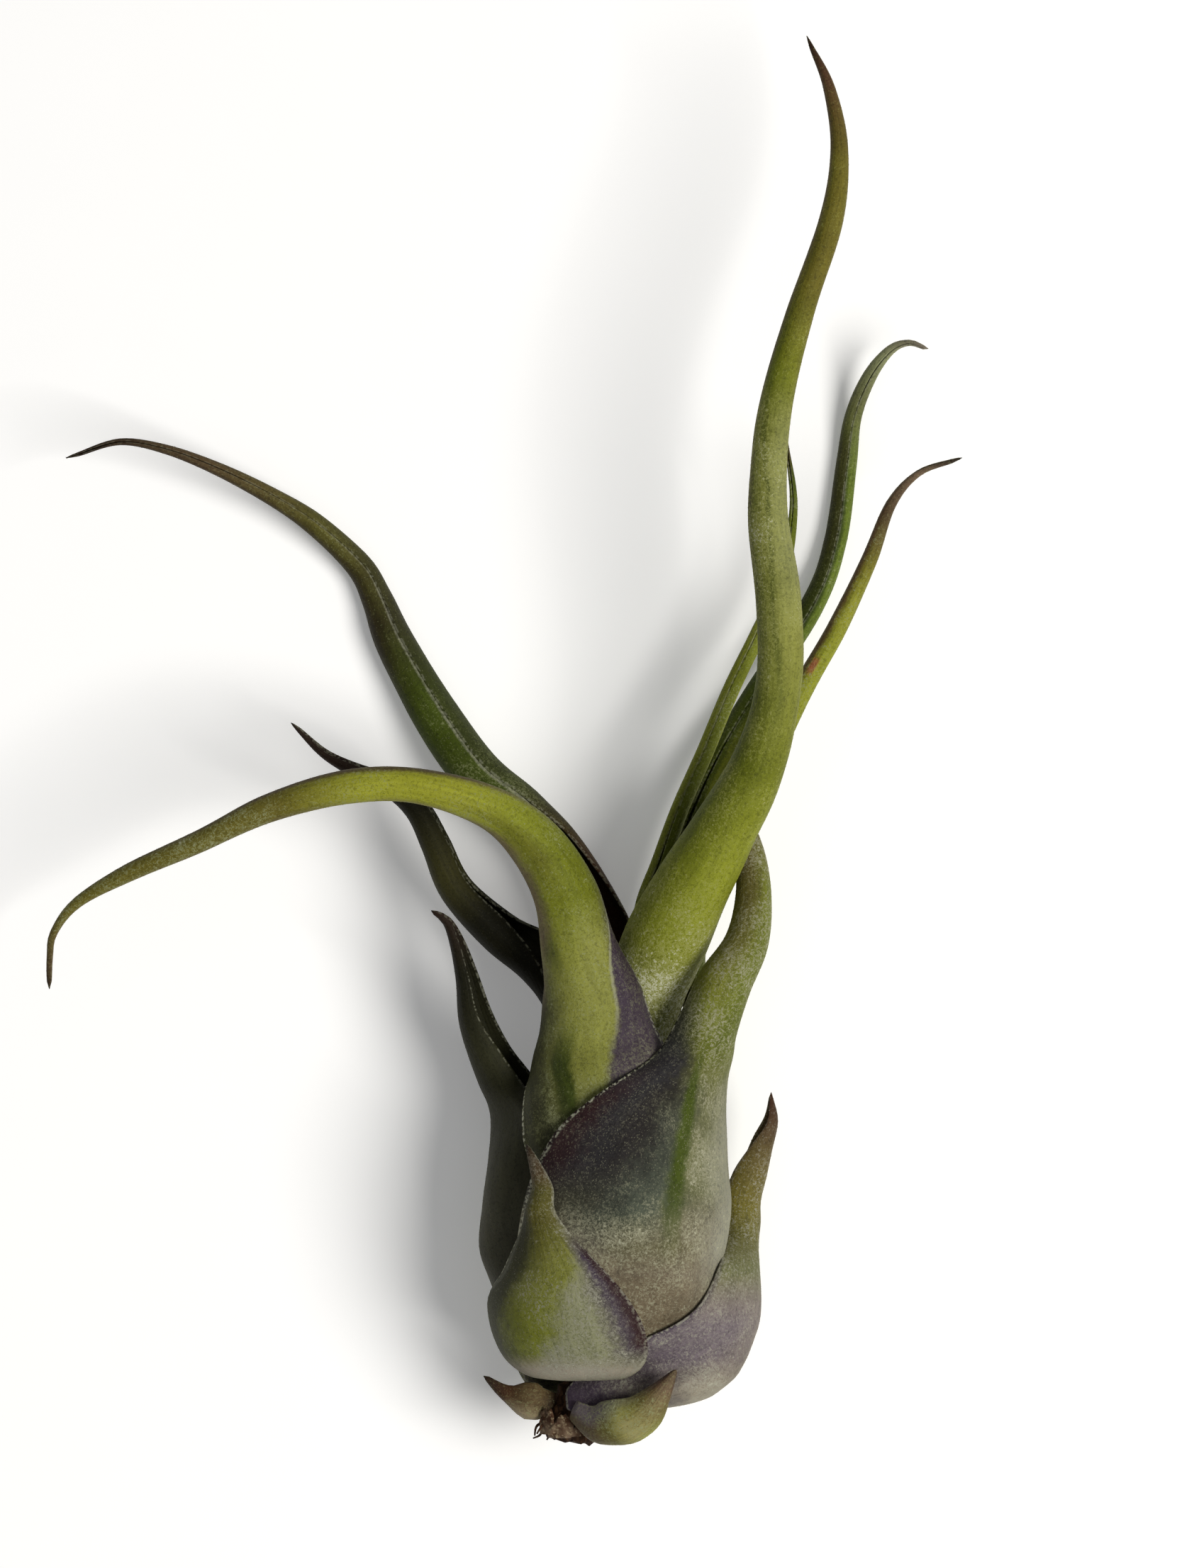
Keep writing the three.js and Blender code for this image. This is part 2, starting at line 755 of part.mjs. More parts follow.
const airPlant = new THREE.Group();
for (const leaf of LEAVES) airPlant.add(leafMesh(leaf));
airPlant.add(stemMesh());

export default airPlant;
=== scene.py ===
import math
import random

import bmesh
import bpy
import numpy as np
from mathutils import Matrix, Vector, noise


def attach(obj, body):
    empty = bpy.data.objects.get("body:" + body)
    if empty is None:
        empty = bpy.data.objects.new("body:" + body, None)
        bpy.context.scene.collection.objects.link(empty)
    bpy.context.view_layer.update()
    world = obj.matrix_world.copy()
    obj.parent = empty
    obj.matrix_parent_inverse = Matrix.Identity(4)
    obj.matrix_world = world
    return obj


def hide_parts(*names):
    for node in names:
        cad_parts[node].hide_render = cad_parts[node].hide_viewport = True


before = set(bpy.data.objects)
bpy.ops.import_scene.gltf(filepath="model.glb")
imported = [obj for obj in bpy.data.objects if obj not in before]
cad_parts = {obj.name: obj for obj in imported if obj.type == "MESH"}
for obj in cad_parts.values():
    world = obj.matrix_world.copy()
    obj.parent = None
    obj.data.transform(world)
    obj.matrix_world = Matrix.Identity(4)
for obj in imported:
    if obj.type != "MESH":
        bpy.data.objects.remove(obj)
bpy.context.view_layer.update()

bl_info = {
    "name": "Medusa's head air plant",
    "version": (1, 0, 0),
    "blender": (4, 5, 0),
    "location": "3D View > Sidebar > Air plant",
    "description": "Grows the leaves, scales, stem and studio of an air plant that lies on its back",
    "category": "Add Mesh",
}

MM = 0.001

# The bulb and its layers, in millimetres and degrees, as in the solid model
AXIS_Z = 17.8  # height of the bulb's axis above the surface
WIDEST_Y = 0.0  # below this height the sheaths round in to the stem
LAYER = 1.7  # how much deeper each covered sheath lies than the one over it
LAYER_FADE = 36.0  # degrees past a sheath's margin over which its cover fades
NECK_FADE = 9.0  # millimetres past a sheath's top over which its cover fades
COVER_LOW_Y = -8.0  # below this height a sheath keeps the layers it has here
BASE_ROUNDING = 2.2  # exponent of the rounded bottom of every sheath
STEM_CLEARANCE = 0.75  # gap between the stem and the foot of a sheath
DIP_START = 0.72  # where a sheath's margin begins to press down, from its middle at 0 to its edge at 1
TUCK_SHARES = (0.1, -0.6)  # across a sheath, where its tuck begins and where it has its full depth
NECK_RINGS = 3  # rings over which a neck turns square to its blade
SHEATH_TUBE = 10.0  # radius that a sheath has where a blade has that of its tube
TUBE_FILL = 0.7  # wall of a thin rolled tip, as a share of its radius
WALL_POWER = 4  # how late a wall thins towards its margins
TIP_REACH = 0.3  # length of the closed tip, as a share of the step before it
TIP_SIZE = 0.12  # size of the last ring, as a share of the one before it
REST_HEIGHT = 0.02  # how low a leaf may reach above the surface it lies on

# The unevenness of a leaf. Spans and radii are in millimetres
FULL_DENT_TUBE = 4.0  # radius of the tube from which a leaf has its full dents
DENT_SPAN = 9.0
FURROW_SPAN = 16.0
RIPPLE_SPAN = 7.0
FURROWS_PER_COLUMN = 0.42  # steps of the noise from one column of a leaf to the next
RIPPLES_PER_COLUMN = 1.1
RIPPLE_SHARE = 0.6  # depth of a ripple, as a share of a furrow's

# The scales of the felt
BARE_SCALES = 0.4  # share of the scales that stand where a leaf has no felt
SCALE_SIZES = (0.5, 1.3)
SCALE_TURN = 0.6  # how far the scales turn out of the leaf's direction, in radians
SCALE_SINK = 0.01  # how deep a scale's corners lie in the leaf, in millimetres

# The stem, its roots and its scraps
STEM_RINGS, STEM_SIDES = 90, 56
ROOT_STRANDS, ROOT_STEPS, ROOT_SIDES = 3, 12, 8
SCRAP_COLUMNS, SCRAP_ROWS = 9, 13
SCRAP_THICKNESS = 0.22

# The stage
FLOOR_SIZE = 3.0
FLOOR_DROP = 0.05  # how far the floor lies below the plant, in millimetres
PLANT_MIDDLE = (-4.0, 68.4, 25.0)

# The bulb: height along the plant, x of its axis, outer radius
BULB = (
    (-24, -7.2, 18.2), (-20, -5, 18.2), (-16, -2.8, 18.2), (-12, -1.6, 18.2), (-6, -0.9, 18.2), (0, -1, 18.2),
    (5, -1.3, 18.1), (10, -1.5, 17.5), (20, -1.2, 16.4), (25, 0.2, 15.2), (30, 2.2, 13.9), (34, 3, 13.4),
    (45, 4, 12.6),
)

# The stem: height along the plant, radius
STEM = ((-24.3, 2.4), (-23.6, 3.6), (-20, 4.1), (-15, 4.4), (-8, 4), (0, 3.1), (8, 1.6))

# Roots: angle round the stem, height where they start, length
ROOTS = ((-55, -20.6, 5.2), (-100, -22.2, 4.2), (150, -21.4, 5.6), (190, -22.6, 5), (232, -20.8, 4.6))

# Dry scraps on the stem: angle round it, height of the foot, length, half width in degrees, lean
SCRAPS = (
    (-62, -23.6, 3.6, 34, 1.6), (-18, -24, 3.2, 30, 0.9), (30, -23.8, 3.4, 32, 1.2), (84, -23.4, 4.0, 36, 1.5),
    (140, -23.8, 3.6, 34, 1.2), (200, -23.6, 4.2, 36, 1.5), (255, -23.4, 3.4, 30, 1.0),
)

# Leaves from the outside of the bulb inwards. Angles are in degrees round the bulb's axis, 0 towards
# +Z and positive towards +X.
#   facing: the side that the middle of the blade faces. outward: the same as a direction
#   base: height of the sheath's foot. rounding: its own exponent in place of BASE_ROUNDING
#   dip: share of the margin dip, where its margins press down less
#   sheath: rows of (height, left margin, right margin, lift, tuck), where lift stands the middle off
#     the bulb and tuck presses the left part in. A row may end before its lift or tuck.
#   blade: rows of (x, y, z, radius, roll), where roll is the angle from the middle of the leaf to its
#     margins. A second roll is that of the right margin where it differs.
#   turn: (blade row, degrees) by which the blade turns about its own length
LEAVES = {
    "leaf_03_front_left_short": {
        "facing": -33,
        "base": -15.9,
        "rounding": 2.35,
        "sheath": (
            (-15.9, -75, 18), (-15.3, -88, 22), (-14, -102, 25), (-11.8, -103, 23.5), (-8, -100, 17),
            (-4.1, -86, 8.7), (-0.7, -62, 0, 0.2), (2.4, -53, -9, 0.5), (5.4, -46, -18, 0.8),
        ),
        "blade": (
            (-10.6, 8.6, 32.2, 2.4, 85), (-10.3, 11.6, 32.3, 1.7, 90), (-11.3, 14.4, 32, 1, 95),
            (-12.4, 17, 31.3, 0.4, 100),
        ),
    },
    "leaf_04_right_short": {
        "facing": 105,
        "base": -20.3,
        "rounding": 3.6,
        "sheath": (
            (-20.3, -14, 165, 0, 1), (-19.8, -20, 165, 2.5, 4.5), (-18.6, -32, 165, 4.1, 7.3),
            (-17.2, -40, 164, 3.7, 8.4), (-15.4, -28, 162, 3.6, 8.6), (-14, -12, 161, 3.2, 7.3),
            (-12.4, 4, 160, 3.05, 4.8), (-10, 21, 158, 3.05, 2.7), (-7.9, 35, 156, 3.3, 1.3),
            (-5.4, 47, 152, 3.4, 0.8), (-2.4, 58, 146, 3.5, 0.7), (0.5, 67, 140, 3.5, 0.5),
        ),
        "blade": (
            (17.4, 5.2, 12.4, 2.9, 142, 75), (17.4, 9.4, 12.6, 3, 148, 85), (18.4, 13.2, 12.9, 2.9, 146, 92),
            (20.1, 17.2, 13.5, 2.1, 135, 105), (21.7, 20.8, 14.6, 1.2, 120), (21.8, 23.8, 16, 0.4, 120),
        ),
    },
    "leaf_05_back_short": {
        "facing": 178,
        "base": -18.6,
        "sheath": (
            (-18.6, 108, 240), (-18, 106, 241), (-16, 104, 243), (-12, 104, 249), (-6, 106, 249),
            (0, 108, 248), (8, 116, 240), (15, 130, 226), (20, 145, 210),
        ),
        "blade": (
            (-0.8, 26, 3.4, 2.6, 85), (-0.1, 31, 3.6, 2.1, 95), (0.8, 36.5, 4.3, 1.5, 105),
            (1.6, 41, 5.4, 0.9, 115), (1.9, 44.2, 6.8, 0.4, 120),
        ),
    },
    "leaf_06_front_right": {
        "facing": 43,
        "base": -13.9,
        "dip": 0.25,
        "sheath": (
            (-13.9, -62, 115), (-13.3, -62, 116), (-11.5, -62, 118), (-7.5, -62, 120), (-5, -61, 120),
            (-2.5, -59, 120), (1, -56, 119), (5, -51, 118, 0.3), (9.5, -45, 118, 0.6), (14.1, -37, 118, 0.7),
            (20.2, -25.5, 116, 0.8), (24.5, -12, 112, 0.8), (27.3, 0, 106, 0.6),
        ),
        "blade": (
            (10, 30.9, 24, 6.4, 84), (12.4, 34.6, 26.9, 4.7, 105), (15.2, 40.4, 27.4, 3.9, 135),
            (18.3, 46, 26.2, 3.1, 150), (19.3, 52, 24, 2.6, 150), (18.9, 58, 21.3, 2.2, 150),
            (17.4, 63.5, 19.4, 1.6, 150), (16.4, 68, 18, 0.5, 150),
        ),
    },
    "leaf_07_arching_left": {
        "facing": -38,
        "base": -12.4,
        "sheath": (
            (-12.4, -92, 45), (-11.8, -92, 50), (-10, -86, 58), (-5, -72, 60), (-2.5, -64, 60), (0, -58, 60),
            (4, -47, 56), (9, -40, 50), (13.3, -43, 44), (18.3, -51, 37), (24.8, -66, 28),
        ),
        "blade": (
            (-1.1, 29.5, 20.2, 10.9, 72, 90), (-2.4, 34, 21.8, 8.6, 85, 103), (-3.6, 39.5, 25.4, 7, 88, 118),
            (-5.4, 45.2, 27, 5.4, 130, 140), (-7.3, 53, 28.6, 4.6, 150), (-11.4, 60, 30.6, 3.9, 150),
            (-18, 65.2, 32.2, 3, 150), (-28, 68.1, 33, 2.5, 150), (-38, 68, 32.8, 2.45, 150),
            (-49, 65, 31.4, 1.95, 150), (-59, 60.2, 29.4, 1.55, 150), (-69, 55.8, 26.6, 1.25, 150),
            (-76.2, 51.6, 24.2, 0.8, 150), (-79.5, 47.4, 22.6, 0.55, 150), (-80.1, 44, 21.6, 0.45, 150),
            (-80.2, 40.5, 21, 0.35, 150),
        ),
    },
    "leaf_08_left_short": {
        "facing": -105,
        "base": -10.9,
        "sheath": (
            (-10.9, -168, -20), (-10.3, -168, -20), (-8.5, -168, -22, 0.3), (-4, -167, -26, 1.4),
            (2, -165, -30, 0.5), (9, -160, -34, -0.1), (16, -150, -38, -0.2), (21.5, -140, -43, 0.9),
        ),
        "blade": (
            (-14.9, 26, 15.2, 4.7, 120, 125), (-17.5, 30.2, 16.2, 3.5, 124, 126),
            (-19.8, 35.4, 16.9, 2.65, 135, 112), (-21.1, 41, 17.9, 1.8, 140, 112),
            (-22.5, 45.8, 19.3, 1.15, 145, 120), (-24, 49, 20.6, 0.7, 145), (-25.7, 50.2, 21.2, 0.35, 145),
        ),
    },
    "leaf_09_right_lower": {
        "facing": 110,
        "base": -9.4,
        "sheath": (
            (-9.4, 25, 192), (-8.8, 25, 192), (-7, 25, 192), (-3, 26, 190), (1, 28, 188), (6, 31, 185),
            (13, 37, 181), (20, 44, 174),
        ),
        "blade": (
            (4.4, 27, 16.4, 9.2, 72, 58), (9.3, 33, 15.6, 4.6, 75, 66), (9.8, 38, 15.2, 3.4, 95, 80),
            (10, 45, 14.4, 2.6, 140, 130), (12.5, 53.5, 14.2, 2.2, 160), (18.1, 65, 14.6, 1.95, 172),
            (25.6, 80.5, 15, 1.65, 178), (31.2, 90.5, 15.8, 1.4, 179), (35.7, 100, 17, 1.15, 179),
            (38.8, 108, 19, 0.75, 177), (42.6, 112.3, 21, 0.45, 165), (47.3, 114, 23, 0.3, 145),
        ),
    },
    "leaf_10_left_middle": {
        "facing": -125,
        "base": -7.9,
        "sheath": (
            (-7.9, -210, -55), (-7.3, -210, -55), (-5.5, -210, -55), (-1, -208, -56), (6, -206, -58),
            (13, -203, -62), (20, -200, -66),
        ),
        "blade": (
            (-0.8, 27, 15.6, 9.6, 78, 55), (-2.6, 33, 13.2, 5.9, 80, 72), (-6.2, 38.5, 13.2, 4.6, 100, 78),
            (-11.3, 43.8, 14.1, 3.8, 130, 120), (-16.6, 47.4, 15, 3.15, 162), (-22.7, 53.5, 15.7, 2.5, 174),
            (-25.7, 60, 16.3, 2.15, 176), (-28.4, 65, 17, 1.85, 176), (-32.6, 68.4, 17.6, 1.5, 175),
            (-37.4, 70.5, 18, 1.05, 172), (-41.5, 72.8, 18.6, 0.7, 150), (-45, 76.1, 19.6, 0.35, 150),
        ),
    },
    "leaf_11_tall_centre": {
        "facing": 8,
        "base": -6.4,
        "sheath": (
            (-6.4, -76, 100), (-5.8, -76, 100), (-4, -76, 100), (-1, -76, 100), (6, -75, 100), (13, -74, 100),
        ),
        "blade": (
            (-0.3, 20.6, 17.9, 11.2, 78, 92), (1.2, 27, 17.8, 8.7, 80, 92), (2.7, 34, 17.4, 6.1, 96, 104),
            (4.2, 39.8, 19, 5.7, 118, 116), (7.1, 46.6, 22, 6, 140), (10.7, 54, 24.6, 5.4, 150),
            (15, 61.8, 27, 4.65, 150), (19.9, 71.4, 29.4, 3.9, 150), (22.6, 82, 31.4, 3.25, 150),
            (22.7, 94, 32.6, 3.25, 150), (21.2, 107.4, 32.6, 2.75, 150), (22.2, 121, 32, 2.35, 150),
            (25.7, 134.4, 31.4, 2, 150), (30.2, 148, 30.2, 1.7, 150), (31.3, 158, 28.8, 1.25, 150),
            (29.9, 166.5, 27.2, 0.85, 150), (27.5, 172.2, 25.8, 0.35, 150),
        ),
    },
    "leaf_12_right_upper": {
        "facing": 140,
        "base": -4.9,
        "turn": ((4, 0), (8, 48)),
        "sheath": (
            (-4.9, 50, 230), (-4.3, 50, 230), (-2.5, 50, 230), (1, 50, 230), (6, 51, 229), (13, 54, 226),
        ),
        "blade": (
            (0.6, 19.6, 16.6, 9.6, 84, 80), (2.4, 27, 15.2, 6, 80, 68), (3.4, 33, 11.4, 4.8, 62, 66),
            (5.5, 38.5, 9.9, 3.6, 66, 82), (7.2, 46, 9.6, 2.8, 120), (9, 56, 8.6, 2.4, 166),
            (13, 68, 7.2, 2.05, 174), (18.9, 79.5, 5.6, 1.85, 179), (27.9, 93.9, 2.9, 1.7, 179),
            (31.2, 103, 1.62, 1.6, 179), (32.8, 114, 1.5, 1.45, 179), (33.8, 121, 2.8, 1.2, 179),
            (36.1, 126.6, 5.6, 1, 175), (39, 130.2, 8.6, 0.7, 172), (41.6, 131.1, 10.4, 0.45, 145),
            (43.6, 130.4, 11.4, 0.3, 145),
        ),
    },
    "leaf_13_upper_left": {
        "facing": -130,
        "base": -3.4,
        "turn": ((3, 0), (7, -38)),
        "sheath": (
            (-3.4, -225, -62), (-2.8, -225, -62), (-1, -225, -62), (2.5, -224, -62), (6, -224, -62),
            (13, -223, -62),
        ),
        "blade": (
            (0.2, 19.6, 16.8, 7.8, 93), (0.4, 27, 16.4, 5, 90), (2, 33, 14.4, 4.7, 88),
            (0.6, 39.5, 12.8, 4.3, 110), (-2, 47.5, 10.8, 4.2, 150), (-8.1, 58.3, 8.6, 3.8, 168),
            (-13.5, 64.2, 7.2, 3.7, 178), (-19.8, 69.9, 5.9, 3.6, 179.5), (-26.1, 78.8, 4, 3.3, 179.5),
            (-31.7, 88.8, 2.82, 2.75, 179.5), (-34.2, 94.9, 2.3, 2.25, 179.5), (-36.8, 99.6, 2.8, 1.95, 179),
            (-43, 105.4, 5.2, 1.6, 179), (-49.4, 109.5, 7.8, 1.25, 178), (-57, 113.3, 10.6, 0.95, 175),
            (-64, 115.9, 13.2, 0.7, 172), (-70.4, 116.9, 15.6, 0.48, 160), (-76.2, 115.1, 17.6, 0.3, 150),
        ),
    },
    "leaf_14_inner": {
        "facing": 170,
        "base": -1.9,
        "sheath": (
            (-1.9, 70, 270), (-1.3, 70, 270), (0.5, 70, 270), (3, 70, 270), (6, 70, 270), (13, 71, 269),
        ),
        "blade": (
            (0.6, 19.6, 17.4, 5.6, 100), (1.6, 27, 17.2, 3.5, 108), (2.9, 33, 17.1, 2.9, 115),
            (3.4, 41, 16.6, 1.9, 130), (4, 50.3, 15.9, 1.6, 166), (6.2, 57, 15, 1.4, 174),
            (8.9, 64.7, 14, 1.3, 179), (12.7, 73.3, 12.8, 1.25, 179), (16.3, 81.9, 11.8, 1.2, 179),
            (20, 89.6, 11.3, 1.1, 178), (23.6, 98, 11.6, 0.9, 174), (25.1, 107.7, 12.8, 0.6, 170),
            (24.2, 115.8, 14.4, 0.3, 145),
        ),
    },
    "leaf_02_bottom_front": {
        "outward": (0.15, -0.75, 0.6),
        "blade": (
            (-5.4, -19.7, 22.6, 2.2, 80), (-2.6, -21.2, 23.8, 3.4, 80), (-0.2, -21, 25.2, 3.9, 82),
            (1.9, -20.5, 27, 3.9, 82), (4.2, -19.4, 29, 3, 82), (6, -17.2, 31, 1.8, 88),
            (7.3, -15.4, 32.2, 0.95, 95), (8.1, -14.2, 32.9, 0.4, 100),
        ),
    },
    "leaf_01_bottom_left": {
        "outward": (-0.1, -0.7, 0.7),
        "blade": (
            (-8.6, -19.2, 17.8, 1.9, 95), (-10.9, -19, 17.6, 2.7, 95), (-12.2, -18.5, 17.8, 3.1, 95),
            (-13.6, -18.2, 18.1, 2.6, 100), (-15.1, -17.9, 18.4, 1.5, 105), (-16.6, -17.1, 18.7, 0.9, 110),
            (-18.3, -15.7, 19.1, 0.4, 110),
        ),
    },
}


def srgb(red, green, blue):
    """A colour in 0 to 255 steps, as the linear values that Blender works in."""
    parts = []
    for value in (red, green, blue):
        share = value / 255
        parts.append(share / 12.92 if share <= 0.04045 else ((share + 0.055) / 1.055) ** 2.4)
    return tuple(parts)


# The colours of the living and dry leaf
PALETTE = {
    "lime": srgb(150, 152, 44),
    "yellow_olive": srgb(128, 134, 34),
    "olive": srgb(104, 110, 22),
    "pale_olive": srgb(130, 132, 60),
    "moss": srgb(76, 88, 14),
    "fern": srgb(92, 108, 32),
    "leaf_green": srgb(62, 74, 14),
    "forest": srgb(44, 58, 6),
    "khaki": srgb(104, 96, 32),
    "dim_olive": srgb(84, 80, 30),
    "grey_olive": srgb(100, 102, 62),
    "dark_olive": srgb(56, 54, 24),
    "deep_green": srgb(46, 46, 28),
    "black_green": srgb(24, 23, 9),
    "silver": srgb(140, 139, 124),
    "teal_grey": srgb(84, 94, 80),
    "warm_grey": srgb(128, 118, 104),
    "beige": srgb(150, 142, 122),
    "blush": srgb(190, 176, 156),
    "taupe": srgb(118, 98, 78),
    "clay": srgb(104, 92, 72),
    "shadow_grey": srgb(70, 69, 54),
    "ash_purple": srgb(108, 98, 104),
    "purple": srgb(64, 52, 68),
    "plum": srgb(52, 40, 50),
    "slate": srgb(48, 48, 52),
    "soot": srgb(34, 30, 28),
    "burgundy": srgb(46, 24, 26),
    "umber": srgb(82, 66, 42),
    "brown": srgb(86, 60, 40),
    "rust": srgb(64, 40, 24),
    "dark_brown": srgb(42, 28, 20),
    "straw": srgb(160, 144, 114),
    "blemish": srgb(152, 84, 58),
    "felt": srgb(136, 140, 100),
    "pale_felt": srgb(144, 142, 118),
    "lime_felt": srgb(140, 142, 78),
    "grey_felt": srgb(146, 144, 130),
    "frost": srgb(196, 196, 172),
}

# Middles that a band and a bare strip share, as stops along the leaf
TUCK_STREAK = ((0, -0.75), (12, -0.75), (16, -0.9), (22, -1.0))
FRONT_STREAK = ((25, -0.05), (35, -0.08), (42, -0.08), (47, -0.18), (53, -0.3))
ARCH_STREAK = ((44, -0.24), (50, -0.12), (55, -0.05), (66, -0.12))

